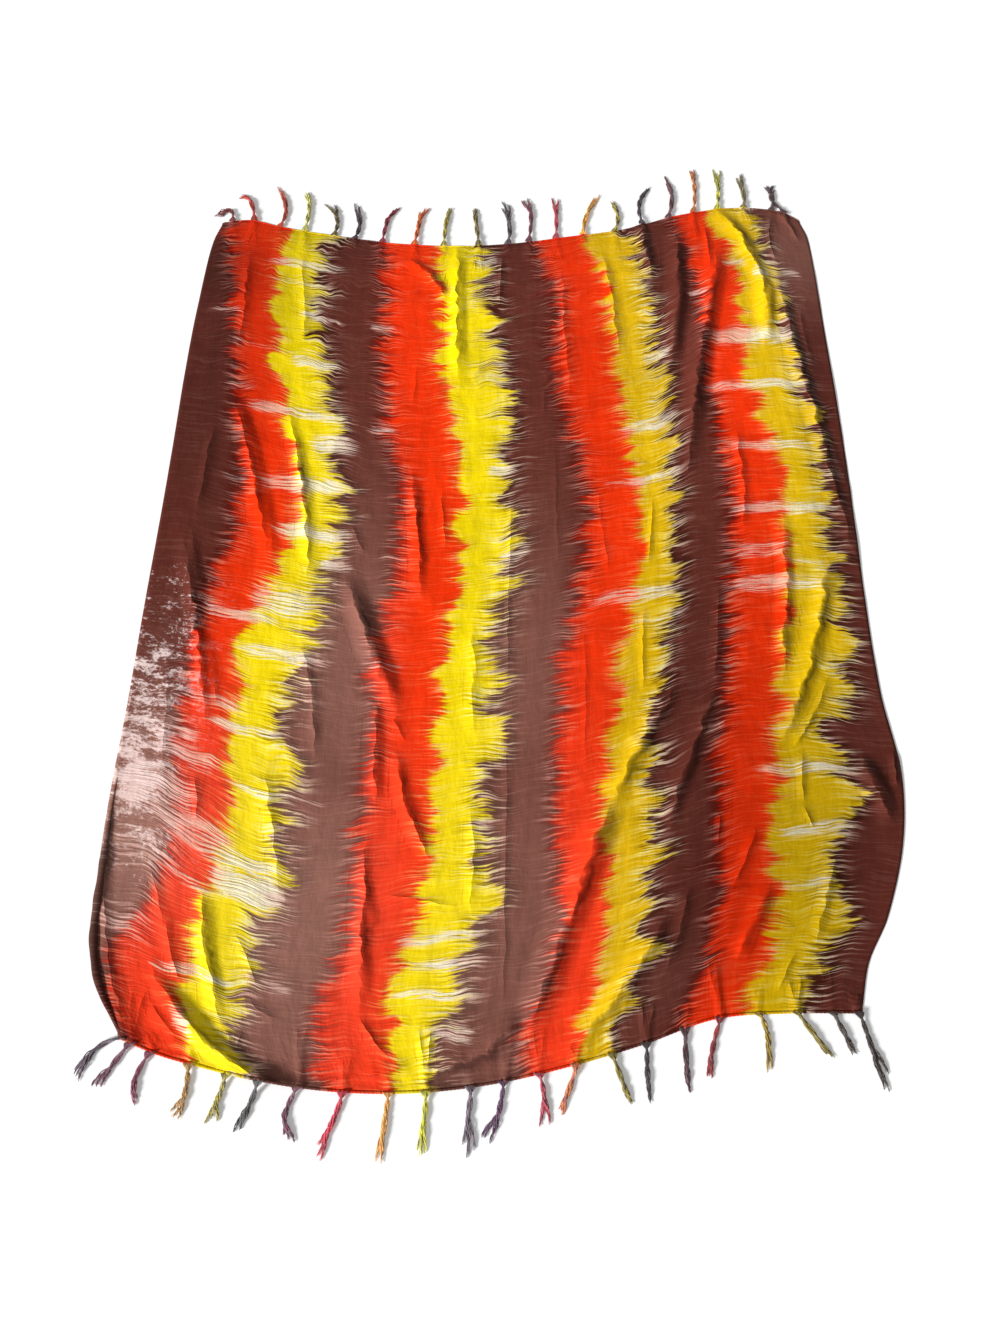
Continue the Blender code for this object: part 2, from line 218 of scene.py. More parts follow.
# Finer creases, which lie on the folds or between them
CREASES = (
    # The left third
    Fold((-386, 802), (-436, 946), (-467, 1020), 6, 2),
    Fold((-372, 693), (-389, 783), (-413, 883), 7, 2),
    Fold((-473, 620), (-496, 693), (-515, 777), 7, 2.5),
    Fold((-429, 431), (-444, 503), (-462, 571), 7, 2.5),
    Fold((-439, 273), (-445, 310), (-452, 347), 7, 2.5),
    Fold((-429, 55), (-448, 100), (-466, 159), 9, 3),
    Fold((-329, 49), (-348, 87), (-368, 126), 9, 2.5),
    Fold((-422, -10), (-447, 12), (-467, 37), 9, 3),
    Fold((-297, 12), (-321, 22), (-338, 37), 8, 2),
    Fold((-509, 783), (-508, 883), (-505, 989), 11, 2.5),
    Fold((-498, 322), (-505, 430), (-519, 562), 11, 1.2),
    Fold((-453, 100), (-473, 159), (-496, 221), 9, 2.5),
    Fold((-368, 1149), (-375, 1271), (-396, 1401), 12, 2),
    Fold((-485, 1125), (-485, 1271), (-491, 1401), 12, 2.5),
    # Left of the middle
    Fold((-230, 717), (-244, 744), (-257, 773), 7, 2.5),
    Fold((-160, 438), (-197, 520), (-206, 574), 7, 3),
    Fold((-152, 390), (-165, 414), (-176, 434), 6, 2.5),
    Fold((-105, 717), (-108, 783), (-115, 850), 6, 2),
    Fold((-187, 307), (-192, 382), (-200, 465), 6, 1.5),
    Fold((-178, 122), (-189, 149), (-197, 174), 7, 2.5),
    Fold((-186, 32), (-191, 68), (-194, 105), 6, 2),
    Fold((-153, -35), (-178, -12), (-197, 19), 8, 3),
    Fold((-276, 352), (-294, 462), (-321, 562), 12, 2.5),
    Fold((-312, 166), (-333, 263), (-354, 367), 12, 2.5),
    # The middle, with the sharp crease of its storage fold
    Fold((-6, 462), (-2, 633), (4, 863), 4, 1.2),
    Fold((-12, -12), (-9, 193), (-6, 462), 4, 1.2),
    Fold((-68, 152), (-124, 166), (-178, 172), 6, 2),
    Fold((-81, 135), (-61, 136), (-40, 135), 6, 1.5),
    Fold((-192, -49), (-160, -50), (-130, -37), 8, 3),
    Fold((-16, -13), (-1, -2), (13, 10), 8, 2.5),
    Fold((-77, 1070), (-85, 1221), (-84, 1374), 6, 2),
    Fold((-18, 1241), (-14, 1317), (-11, 1392), 7, 2.5),
    Fold((61, 996), (60, 1029), (60, 1061), 4, 0.8),
    Fold((76, 684), (76, 822), (76, 957), 4, 1),
    Fold((105, 346), (110, 462), (115, 590), 4, 1),
    Fold((155, 667), (150, 763), (146, 863), 4, 1),
    Fold((-166, 1018), (-165, 1065), (-163, 1113), 4, 1),
    Fold((-245, 955), (-160, 953), (-81, 955), 4, 1),
    Fold((-60, 398), (-55, 495), (-62, 597), 12, 2),
    Fold((-59, 126), (-52, 221), (-58, 307), 11, 2),
    Fold((105, 1034), (103, 1197), (97, 1374), 12, 2),
    Fold((193, 1125), (190, 1271), (174, 1401), 12, 2.5),
    # The right third
    Fold((371, 1311), (380, 1395), (378, 1474), 7, 3),
    Fold((556, 1415), (540, 1468), (521, 1505), 7, 3.5),
    Fold((512, 1350), (497, 1430), (514, 1500), 7, 2.8),
    Fold((288, 1109), (306, 1226), (320, 1327), 8, 3),
    Fold((457, 1163), (474, 1246), (483, 1319), 7, 2.5),
    Fold((295, 869), (304, 925), (315, 985), 8, 3),
    Fold((536, 1061), (532, 1163), (534, 1258), 6, 2.5),
    Fold((560, 804), (549, 902), (532, 974), 6, 2.5),
    Fold((220, 689), (228, 763), (234, 832), 6, 2),
    Fold((196, 471), (201, 545), (206, 629), 6, 2),
    Fold((233, 322), (247, 352), (267, 393), 7, 2.5),
    Fold((132, 32), (156, 59), (175, 86), 7, 2.5),
    Fold((403, 384), (440, 431), (479, 511), 9, 4),
    Fold((430, 629), (440, 706), (447, 789), 6, 2),
    Fold((409, 299), (412, 337), (420, 384), 8, 3),
    Fold((421, 264), (415, 280), (409, 299), 7, 2.5),
    Fold((546, 322), (548, 352), (549, 382), 8, 4),
    Fold((543, 299), (520, 326), (512, 355), 8, 3),
    Fold((294, 101), (324, 139), (351, 178), 7, 3),
    Fold((300, 82), (322, 118), (344, 154), 6, 2),
    Fold((342, 43), (357, 72), (374, 101), 7, 2.5),
    Fold((282, 237), (286, 263), (291, 291), 7, 2.5),
    Fold((376, 744), (385, 863), (387, 989), 12, 2.5),
    Fold((305, 478), (313, 562), (330, 669), 12, 3),
    Fold((293, 179), (320, 221), (347, 277), 11, 3),
    Fold((399, 100), (422, 166), (453, 235), 11, 3),
    Fold((192, 61), (221, 126), (242, 193), 11, 3),
)

# The stripes, read off the cloth at fourteen places along it
STRIPES = (
    Stripes(0.00, (0.8, 10.0, 17.5, 27.0, 36.5, 44.0, 54.0, 61.5, 66.0, 75.0, 84.0, 94.0)),
    Stripes(0.05, (1.6, 10.5, 19.5, 28.5, 38.5, 45.5, 56.0, 63.0, 69.5, 78.5, 86.0, 96.0)),
    Stripes(0.10, (4.0, 12.0, 21.5, 30.5, 38.0, 46.0, 58.0, 63.5, 69.5, 78.0, 85.0, 93.5)),
    Stripes(0.15, (7.5, 13.0, 22.0, 31.0, 39.0, 48.5, 57.0, 62.5, 69.0, 77.0, 84.0, 92.0)),
    Stripes(0.20, (8.0, 14.0, 24.0, 31.0, 39.5, 48.0, 56.0, 62.0, 70.0, 76.5, 84.5, 94.0)),
    Stripes(0.25, (7.5, 14.0, 22.5, 31.5, 40.0, 48.5, 56.0, 62.0, 69.0, 77.0, 84.5, 92.0)),
    Stripes(0.30, (7.0, 14.0, 22.5, 32.0, 40.5, 49.0, 57.0, 64.0, 70.5, 79.0, 86.0, 96.5)),
    Stripes(0.40, (7.7, 14.0, 24.0, 32.0, 41.0, 48.0, 58.5, 66.5, 73.5, 80.5, 89.0, 97.0)),
    Stripes(0.50, (9.8, 17.0, 26.0, 33.5, 42.5, 51.0, 60.5, 69.0, 74.0, 82.5, 90.0, 97.0)),
    Stripes(0.60, (10.5, 19.5, 26.0, 34.5, 43.0, 51.0, 61.5, 68.5, 75.0, 82.0, 90.0, 96.5)),
    Stripes(0.70, (8.5, 16.5, 24.0, 31.5, 41.5, 49.5, 59.0, 67.0, 74.5, 81.0, 87.5, 95.5)),
    Stripes(0.80, (7.0, 13.0, 21.5, 30.5, 39.0, 48.5, 57.5, 66.0, 74.0, 81.0, 87.5, 94.5)),
    Stripes(0.90, (4.5, 12.0, 20.5, 29.5, 38.5, 47.5, 57.0, 65.5, 73.0, 80.0, 86.5, 93.5)),
    Stripes(1.00, (1.2, 10.8, 20.0, 28.0, 36.5, 45.5, 54.0, 63.0, 69.5, 78.0, 84.0, 91.0)),
)
# How wide the outermost stripes would be, of which the sides cut off a part
EDGE_STRIPE = 8.0

# The pale streaks that the dye hardly reached
BARE_STREAKS = (
    Mark(16, 94, 7, 0.9, 0.8),
    Mark(15, 91, 6, 0.5, 0.6),
    Mark(20, 86, 4, 0.5, 0.9),
    Mark(5, 84.6, 3, 0.5, 0.7),
    Mark(20, 78.6, 4, 1.0, 1.0),
    Mark(12, 79.6, 8, 0.5, 0.5),
    Mark(9, 73, 3, 0.8, 0.5),
    Mark(18, 71, 8, 0.7, 1.1),
    Mark(31, 70.3, 2.5, 0.5, 0.9),
    Mark(24, 67, 4, 1.8, 0.8),
    Mark(20, 61, 7, 1.1, 1.0),
    Mark(10, 61, 2.5, 0.6, 0.6),
    Mark(22, 55.2, 6, 1.0, 1.0),
    Mark(26, 51.5, 2.5, 0.8, 0.9),
    Mark(34, 53, 2.5, 0.5, 0.5),
    Mark(51, 52.5, 2.5, 1.2, 0.7),
    Mark(49, 64, 2.5, 0.9, 0.8),
    Mark(46, 97.5, 2, 1.2, 0.7),
    Mark(30, 86, 2.5, 0.8, 0.6),
    Mark(73, 77.5, 2.5, 0.9, 0.8),
    Mark(71, 67.5, 5, 1.2, 0.8),
    Mark(70, 60, 7, 0.8, 0.7),
    Mark(88, 78.3, 7, 1.4, 1.1),
    Mark(88, 70.3, 8, 0.8, 1.1),
    Mark(89, 61.5, 7, 0.9, 0.8),
    Mark(90, 53, 8, 0.8, 1.0),
    Mark(87, 90.5, 2.5, 0.8, 0.7),
    Mark(91, 88.3, 1.6, 1.4, 0.8),
    Mark(80.5, 86, 2, 0.5, 0.8),
    Mark(96, 88.5, 2, 1.0, 0.6),
    Mark(13, 43.3, 6, 0.8, 1.0),
    Mark(19, 46, 5, 2.4, 0.8),
    Mark(20, 39.5, 7, 0.9, 0.9),
    Mark(34, 39.6, 3, 0.6, 0.6),
    Mark(16, 31, 6, 0.6, 0.9),
    Mark(7, 29, 4, 2.0, 0.6),
    Mark(20, 26, 8, 0.5, 0.7),
    Mark(15, 19.3, 8, 0.9, 1.1),
    Mark(18.5, 17.0, 4.5, 1.4, 1.7),
    Mark(10, 15.5, 5, 0.6, 0.7),
    Mark(13, 7.5, 6, 0.6, 0.9),
    Mark(11, 3, 1.5, 1.6, 0.7),
    Mark(24, 8, 3, 0.7, 0.6),
    Mark(43, 12.5, 6, 0.6, 0.9),
    Mark(44, 10, 6, 0.6, 0.9),
    Mark(43, 7.5, 6, 0.6, 0.8),
    Mark(46, 4, 3, 1.0, 0.8),
    Mark(68, 45, 7, 1.0, 0.8),
    Mark(71, 42, 5, 0.8, 0.6),
    Mark(88, 43.2, 7, 1.2, 0.9),
    Mark(86, 47, 4, 0.7, 0.7),
    Mark(86, 26.5, 4, 0.6, 0.5),
    Mark(86, 48, 5, 0.6, 0.7),
    Mark(92, 46, 4, 0.5, 0.6),
    Mark(88, 22.3, 7, 0.7, 0.9),
    Mark(89, 16.2, 5, 0.8, 0.8),
    Mark(89, 11, 4, 0.7, 0.6),
    Mark(77, 27.5, 2, 0.6, 0.7),
    Mark(6, 23, 6, 2.2, 0.75),
    Mark(10, 20.5, 7, 1.4, 0.85),
    Mark(5, 16, 6, 2.6, 0.55),
    Mark(4, 10, 5, 3.0, 0.50),
    Mark(9, 27, 5, 1.4, 0.80),
    Mark(11, 33, 5, 1.0, 0.60),
)

# Where the maroon at the left side is mottled like cracked wax
CRACKLED = (
    Mark(2.5, 28, 6, 6, 0.95),
    Mark(4, 24, 5.5, 4.2, 1.28),
    Mark(5, 35, 9, 9, 0.78),
    Mark(5, 44, 9, 5, 0.55),
    Mark(5, 19, 9, 6, 0.72),
)

# Where the cloth is darker: partly painted shade, partly darker dye
SHADED = (
    Mark(0.5, 9, 0.6, 13, 0.55),
    Mark(50, 0, 90, 0.3, 0.28),
    Mark(2, 74, 13, 26, 0.30),
    Mark(4, 92, 9, 9, 0.50),
    Mark(10, 88, 8, 12, 0.30),
    Mark(8, 99, 22, 5, 0.30),
    Mark(17, 90, 8, 14, 0.14),
    Mark(2, 2, 3, 5, 0.42),
    Mark(97, 4, 8, 12, 0.32),
    Mark(60, 100, 40, 6, 0.16),
    Mark(99, 60, 7, 60, 0.26),
    Mark(86, 16, 16, 30, 0.38),
    Mark(68, 30, 8, 22, 0.14),
    Mark(88, 96, 14, 10, 0.20),
    Mark(64, 78, 8, 18, 0.12),
)

# Where the maroon is paler and pinkish: partly a painted sheen, partly dye that took less
VEILED = (
    Mark(5, 19, 15, 13, 0.30),
    Mark(26, 14, 14, 18, 0.22),
    Mark(28, 38, 8, 20, 0.17),
    Mark(52, 12, 14, 22, 0.13),
    Mark(53, 38, 7, 18, 0.12),
    Mark(36, 4, 40, 4, 0.06),
    Mark(98, 92, 6, 9, 0.13),
)

# The tassels of both ends, from the left to the right
FAR_TASSELS = (
    Tassel(-531, (-11, 30), (-40, 14), 5, "#7c2420", "#46202a"),
    Tassel(-489, (-14, 52), (-32, 76), 6, "#a02c1c", "#70201a"),
    Tassel(-439, (7, 48), (-11, 110), 5.5, "#b4482a", "#84301c"),
    Tassel(-390, (3, 70), (-6, 112), 4.5, "#989430", "#c8c490"),
    Tassel(-333, (2, 47), (-21, 89), 7, "#6a5a34", "#4a3a2c"),
    Tassel(-293, (7, 44), (-1, 117), 6.5, "#44283a", "#2c2028"),
    Tassel(-239, (5, 55), (18, 105), 6, "#8c1c2c", "#5a1c2c"),
    Tassel(-178, (6, 55), (12, 102), 8, "#c86428", "#a04420"),
    Tassel(-122, (2, 60), (12, 108), 4.5, "#a8963a", "#6a5c34"),
    Tassel(-56, (-6, 60), (-11, 105), 4.5, "#7c6c3a", "#4c4430"),
    Tassel(-1, (2, 58), (-17, 110), 6.5, "#3c3038", "#54464c"),
    Tassel(39, (5, 65), (2, 120), 8, "#6c2434", "#3c2430"),
    Tassel(91, (2, 65), (1, 118), 5.5, "#a4303c", "#742430"),
    Tassel(143, (7, 46), (30, 112), 7, "#c88430", "#c0a83c"),
    Tassel(204, (7, 47), (-13, 89), 5.5, "#948430", "#3c3424"),
    Tassel(258, (-2, 60), (21, 118), 6, "#3c2838", "#241c28"),
    Tassel(309, (12, 59), (9, 120), 5.5, "#5c2430", "#3c2028"),
    Tassel(359, (8, 67), (5, 123), 5, "#b06c38", "#905030"),
    Tassel(406, (8, 60), (10, 116), 5.5, "#a8a43c", "#6c6834"),
    Tassel(457, (5, 43), (-1, 102), 5.5, "#6c6234", "#4c4030"),
    Tassel(511, (6, 40), (-4, 74), 4, "#3c2224", "#241418"),
    Tassel(536, (-21, 40), (-16, 80), 4.5, "#3c2224", "#2c1a1e"),
)

NEAR_TASSELS = (
    Tassel(-495, (-31, 12), (-46, 50), 4.5, "#5c4854", "#443a46"),
    Tassel(-482, (-20, 26), (-27, 50), 6, "#744454", "#5c4050"),
    Tassel(-455, (-15, 30), (-9, 57), 4.5, "#8c4458", "#704858"),
    Tassel(-406, (0, 35), (-7, 66), 6, "#b0884c", "#94785c"),
    Tassel(-356, (-9, 30), (-17, 56), 7, "#a89c48", "#8c8464"),
    Tassel(-313, (-14, 32), (-21, 64), 5.5, "#5c5858", "#3c3838"),
    Tassel(-266, (-14, 28), (-17, 64), 8, "#7c4454", "#5c4858"),
    Tassel(-210, (-11, 33), (-29, 69), 5.5, "#c43c4c", "#a44454"),
    Tassel(-154, (-3, 30), (-8, 79), 6, "#d8a050", "#c08c50"),
    Tassel(-108, (-1, 32), (-7, 71), 6, "#ccc83c", "#94944c"),
    Tassel(-52, (-3, 32), (-11, 73), 6, "#70606a", "#544c56"),
    Tassel(-11, (-5, 28), (-14, 67), 7.5, "#5c2c54", "#3c2840"),
    Tassel(33, (6, 28), (6, 63), 5.5, "#a43c4c", "#742c3c"),
    Tassel(80, (-11, 30), (-24, 54), 6, "#b07044", "#94484c"),
    Tassel(125, (12, 34), (21, 64), 2.5, "#80742c", "#584c28"),
    Tassel(169, (-1, 34), (-2, 74), 2.5, "#342628", "#241a1c"),
    Tassel(220, (-2, 41), (4, 73), 3.5, "#481822", "#301018"),
    Tassel(266, (-13, 34), (-22, 70), 3.5, "#8a1c26", "#5a141c"),
    Tassel(315, (8, 24), (6, 68), 2, "#8c7420", "#685420"),
    Tassel(364, (16, 22), (39, 57), 2.2, "#786818", "#544814"),
    Tassel(411, (10, 24), (24, 54), 3, "#34241c", "#2c2414"),
    Tassel(443, (9, 36), (16, 88), 6, "#2e1e1a", "#201410"),
)


def hermite(stations: Sequence[float], values: Sequence[float], at: np.ndarray) -> np.ndarray:
    """Read a smooth curve through a table.

    Args:
        stations: the places of the rows, in rising order.
        values: the value of each row.
        at: the places to read the curve at.

    Returns:
        The curve's value at each place.
    """
    x, y = np.asarray(stations, float), np.asarray(values, float)
    before, after = np.r_[0, np.arange(len(x) - 1)], np.r_[np.arange(1, len(x)), len(x) - 1]
    slope = (y[after] - y[before]) / (x[after] - x[before])
    index = np.clip(np.searchsorted(x, at, side="right") - 1, 0, len(x) - 2)
    step = x[index + 1] - x[index]
    part = (np.clip(at, x[0], x[-1]) - x[index]) / step
    return (
        (2 * part**3 - 3 * part**2 + 1) * y[index]
        + (part**3 - 2 * part**2 + part) * slope[index] * step
        + (3 * part**2 - 2 * part**3) * y[index + 1]
        + (part**3 - part**2) * slope[index + 1] * step
    )


def smooth_step(value: np.ndarray) -> np.ndarray:
    """Return a rise from 0 to 1 that starts and ends level."""
    value = np.clip(value, 0.0, 1.0)
    return value * value * (3.0 - 2.0 * value)


def wander(points: np.ndarray, size_x: float, size_y: float, seed: float) -> np.ndarray:
    """Return smooth noise between about -1 and 1 over plan points, for lumps of the given size."""
    scaled = points / np.array([size_x, size_y])
    return np.array([noise.noise(Vector((x, y, seed))) for x, y in scaled])


@dataclass(frozen=True)
class Outline:
    """The outline of the cloth as it lies on the floor."""

    half_width: float = 0.575
    length: float = 1.480
    corner_drop: float = 0.022
    corner_across: float = 0.050
    corner_along: float = 0.080

    def place(self, across: np.ndarray, along: np.ndarray) -> np.ndarray:
        """Find where points of the cloth lie, with the far right corner drawn in by its knot."""
        spots = self.square(across, along)
        beside = np.clip((across - 1) / self.corner_across + 1, 0, 1) ** 2
        spots[:, 1] -= self.corner_drop * beside * smooth_step((along - 1) / self.corner_along + 1)
        return spots

    def square(self, across: np.ndarray, along: np.ndarray) -> np.ndarray:
        """Find where points of the cloth would lie in its own frame, with all corners square.

        Args:
            across: the points' shares of the width.
            along: their shares of the length.

        Returns:
            One row of x and y for each point.
        """
        sides, ends = list(zip(*SIDES)), list(zip(*ENDS))
        left = -self.half_width + hermite(sides[0], sides[1], along)
        right = self.half_width - hermite(sides[0], sides[2], along)
        near = hermite(ends[0], ends[1], across)
        far = self.length + hermite(ends[0], ends[2], across)
        return np.stack([left + across * (right - left), near + along * (far - near)], axis=-1)

    def across_at(self, x: float, along: float) -> float:
        """Return the share of the width at which a place across an end lies."""
        left, right = self.place(np.array([0.0, 1.0]), np.array([along, along]))[:, 0]
        return float((x - left) / (right - left))

    def shift(self) -> np.ndarray:
        """Return the move from the cloth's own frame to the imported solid's frame."""
        share = np.linspace(0, 1, 200)
        zero, one = np.zeros_like(share), np.ones_like(share)
        rim = [(zero, share), (one, share), (share, zero), (share, one)]
        points = np.concatenate([self.square(across, along) for across, along in rim])
        middle = (points.min(axis=0) + points.max(axis=0)) / 2
        low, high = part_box("woven_panel")
        return (np.array(low[:2]) + np.array(high[:2])) / 2 - middle


class Lie(NamedTuple):
    """How the cloth lies at some points.

    Lift is in metres. Side runs from -1 to 1 across the nearest crest, and depth is how sharply
    it is creased, from 0 to 1. Side and depth place the painted shade and highlight of each crease.
    """

    lift: np.ndarray
    side: np.ndarray
    depth: np.ndarray


OUTLINE = Outline()


@dataclass(frozen=True)
class Puckers:
    """The short creases that the knots of the tassels pull into an end, in millimetres."""

    reach: float = 40
    reach_swing: float = 22
    height: float = 1.8
    height_swing: float = 1.0
    aside: float = 6
    aside_swing: float = 4
    half_width: float = 4.5
    parts: tuple[float, ...] = (-0.4, 0.5, 1.2)

    def creases(self, tassels: Sequence[Tassel], along: float, inward: int) -> list[Fold]:
        """Work out the creases of one end.

        Args:
            tassels: the end's tassels.
            along: the end's share of the length.
            inward: 1 where y grows into the cloth, and -1 where it falls.

        Returns:
            Two creases for each tassel, which part from its knot.
        """
        creases = []
        for index, tassel in enumerate(tassels):
            across = OUTLINE.across_at(tassel.across * MM, along)
            x, y = OUTLINE.place(np.array([across]), np.array([along]))[0] / MM
            reach = self.reach + self.reach_swing * math.sin(2.3 * index)
            height = self.height + self.height_swing * math.sin(3.1 * index)
            for way in (-1, 1):
                aside = way * (self.aside + self.aside_swing * math.sin(1.7 * index + way))
                spots = [(x + aside * part, y + inward * reach * part) for part in self.parts]
                creases.append(Fold(*spots, self.half_width, height, lean=0.0))
        return creases


@dataclass(frozen=True)
class Relief:
    """How far the cloth stands off the floor, from its folds, creases and slack."""

    samples: int = 14
    taper: float = 0.30
    fold_flank: float = 1.25
    crease_flank: float = 1.6
    roundness: float = 0.55
    slack: float = 1.1 * MM
    crumple: float = 0.5 * MM
    waver: float = 3.0 * MM
    narrowest: float = 7.0 * MM
    # The reach and strength of the painted shade beside each crease
    mark_reach: float = 1.5
    full_mark: float = 4.2 * MM
    rivalry: float = 0.8

    def crest(self, fold: Fold) -> np.ndarray:
        """Return points along a fold's crest, on a curve through its three places."""
        near, middle, far = (np.array(p) * MM for p in (fold.near, fold.middle, fold.far))
        control = 2 * middle - (near + far) / 2
        share = np.linspace(0, 1, self.samples + 1)[:, None]
        return (1 - share) ** 2 * near + 2 * share * (1 - share) * control + share**2 * far

    def beside(self, fold: Fold, points: np.ndarray) -> tuple[np.ndarray, np.ndarray]:
        """Find where points lie beside a fold.

        Args:
            fold: the fold or crease.
            points: plan points, already near it.

        Returns:
            Each point's share of the crest's length, and its distance from the crest, which is
            above 0 on the right and below 0 on the left.
        """
        crest = self.crest(fold)
        nearest = np.full(len(points), np.inf)
        share, side = np.zeros(len(points)), np.ones(len(points))
        for index in range(self.samples):
            start, run = crest[index], crest[index + 1] - crest[index]
            part = np.clip((points - start) @ run / (run @ run), 0, 1)
            away = points - (start + part[:, None] * run)
            distance = np.hypot(away[:, 0], away[:, 1])
            closer = distance < nearest
            nearest[closer] = distance[closer]
            share[closer] = (index + part[closer]) / self.samples
            turn = run[1] * away[:, 0] - run[0] * away[:, 1]
            side[closer] = np.where(turn[closer] >= 0, 1.0, -1.0)
        return share, side * nearest

    def raised(self, fold: Fold, share: np.ndarray, offset: np.ndarray, flank: float) -> np.ndarray:
        """Find how far one fold lifts the cloth.

        Args:
            fold: the fold or crease.
            share: the points' shares of its crest.
            offset: their distances from its crest.
            flank: how many times its half width the fold's foot reaches.

        Returns:
            The lift at each point, in metres.
        """
        reach = fold.half_width * MM * flank
        top = fold.lean * reach / 2
        width = np.where(offset > top, reach - top, reach + top)
        inward = np.clip(1 - np.abs(offset - top) / width, 0, 1)
        rounded, peaked = np.sin(math.pi / 2 * inward) ** 2, inward**1.7
        ends = smooth_step(np.minimum(share, 1 - share) / self.taper)
        return fold.height * MM * ends * (self.roundness * rounded + (1 - self.roundness) * peaked)

    def near(self, fold: Fold, points: np.ndarray, reach: float) -> np.ndarray:
        """Return which points lie close enough to a fold to be changed by it."""
        crest = self.crest(fold)
        low, high = crest.min(axis=0) - reach, crest.max(axis=0) + reach
        return np.all((points > low) & (points < high), axis=1)

    def lie(self, points: np.ndarray) -> Lie:
        """Work out how the cloth lies at plan points."""
        moved = points.copy()
        moved[:, 0] += self.waver * wander(points, 0.06, 0.09, 3.1)
        moved[:, 1] += self.waver * wander(points, 0.09, 0.06, 8.4)
        count = len(points)
        highest, fine = np.zeros(count), np.zeros(count)
        side, depth, rival = np.ones(count), np.zeros(count), np.zeros(count)
        knots = PUCKERS.creases(FAR_TASSELS, 1.0, -1) + PUCKERS.creases(NEAR_TASSELS, 0.0, 1)
        for fold in (*FOLDS, *CREASES, *knots):
            flank = self.fold_flank if fold in FOLDS else self.crease_flank
            half_width = fold.half_width * MM
            mark = max(half_width, self.narrowest) * self.mark_reach
            near = np.flatnonzero(self.near(fold, moved, max(half_width * flank, mark)))
            share, offset = self.beside(fold, moved[near])
            lifted = self.raised(fold, share, offset, flank)
            if fold in FOLDS:
                highest[near] = np.maximum(highest[near], lifted)
            else:
                fine[near] += lifted
            strength = min(fold.height * MM / self.full_mark, 1.0)
            strength = strength * smooth_step(np.minimum(share, 1 - share) / self.taper)
            strength = strength * np.clip(1 - (np.abs(offset) / mark) ** 2, 0, 1)
            better = strength > depth[near]
            rival[near] = np.maximum(rival[near], np.minimum(strength, depth[near]))
            depth[near[better]] = strength[better]
            side[near[better]] = offset[better] / mark
        slack = self.slack * (0.5 + wander(points, 0.11, 0.19, 5.0))
        crumple = self.crumple * (0.6 + wander(points, 0.028, 0.045, 1.7))
        lift = np.maximum(highest + fine + slack + crumple, 0.0)
        return Lie(lift, np.clip(side, -1, 1), depth - self.rivalry * rival)


@dataclass(frozen=True)
class DyeChart:
    """Where each dye lies on the cloth, and where it hardly took."""

    pull: float = 0.060
    pull_across: float = 0.11
    pull_width: float = 0.15
    pull_along: float = 0.19
    pull_length: float = 0.09
    drift: float = 0.011
    ripple: float = 0.006

    def stripe(self, across: np.ndarray, along: np.ndarray) -> np.ndarray:
        """Number the stripes across the cloth.

        Args:
            across: shares of the width.
            along: shares of the length.

        Returns:
            A value that is a whole number at each border: 1 at the first, 12 at the last.
        """
        stations = [row.along for row in STRIPES]
        borders = [hermite(stations, column, along) for column in zip(*[r.borders for r in STRIPES])]
        edges = np.stack([borders[0] - EDGE_STRIPE, *borders, borders[-1] + EDGE_STRIPE])
        place = 100 * across
        number = np.zeros_like(place)
        for index in range(len(edges) - 1):
            share = (place - edges[index]) / (edges[index + 1] - edges[index])
            inside = share >= 0
            number[inside] = index + np.clip(share[inside], 0, 1)
        return number

    def drawn(self, across: np.ndarray, along: np.ndarray) -> np.ndarray:
        """Return the cloth's own coordinates, with the weft drawn aslant by the binding."""
        spots = np.stack([across * CUT_WIDTH, along * CUT_LENGTH], axis=-1)
        beside = (across - self.pull_across) / self.pull_width
        before = (along - self.pull_along) / self.pull_length
        aslant = self.pull * beside * np.exp(-(beside**2) - before**2)
        spots[:, 1] += aslant + self.drift * wander(spots, 0.26, 0.22, 8.1)
        spots[:, 1] += self.ripple * wander(spots, 0.045, 0.060, 5.2)
        return spots

    def amount(self, marks: Sequence[Mark], across: np.ndarray, along: np.ndarray) -> np.ndarray:
        """Return how strongly a table of marks shows at each point, the strongest one winning."""
        most = np.zeros_like(across)
        for mark in marks:
            x = (100 * across - mark.across) / mark.half_width
            y = (100 * along - mark.along) / mark.half_length
            most = np.maximum(most, mark.strength * np.exp(-(x**4) - y**2))
        return most


PUCKERS = Puckers()
RELIEF = Relief()
CHART = DyeChart()


Socket = bpy.types.NodeSocket


def fill(tree: bpy.types.NodeTree, node: bpy.types.Node, inputs: dict) -> None:
    """Set a node's inputs.

    Args:
        tree: the material's node tree.
        node: the node.
        inputs: for each socket, by name or number, a value or the socket to link it from.
    """
    for name, value in inputs.items():
        if isinstance(value, Socket):
            tree.links.new(value, node.inputs[name])
        else:
            node.inputs[name].default_value = value


def add_node(
    tree: bpy.types.NodeTree,
    kind: str,
    inputs: Sequence | dict = (),
    output: int | str = 0,
    stops: Sequence[tuple[float, str | float]] = (),
    **settings: object,
) -> Socket:
    """Add a node with its settings and its links.

    Args:
        tree: the material's node tree.
        kind: the node's type, without the words ShaderNode in front.
        inputs: values, or sockets to link from, in the order of the sockets or by their names.
        output: which output is wanted.
        stops: a colour ramp's stops, each with a hex colour or with a number that it carries.
        **settings: the node's own properties.

    Returns:
        The node's output.
    """
    node = tree.nodes.new("ShaderNode" + kind)
    for name, value in settings.items():
        setattr(node, name, value)
    fill(tree, node, inputs if isinstance(inputs, dict) else dict(enumerate(inputs)))
    for _ in stops[2:]:
        node.color_ramp.elements.new(1.0)
    for (place, value), element in zip(stops, node.color_ramp.elements if stops else ()):
        element.position = place
        element.color = linear(value) if isinstance(value, str) else (value, value, value, 1.0)
    return node.outputs[output]


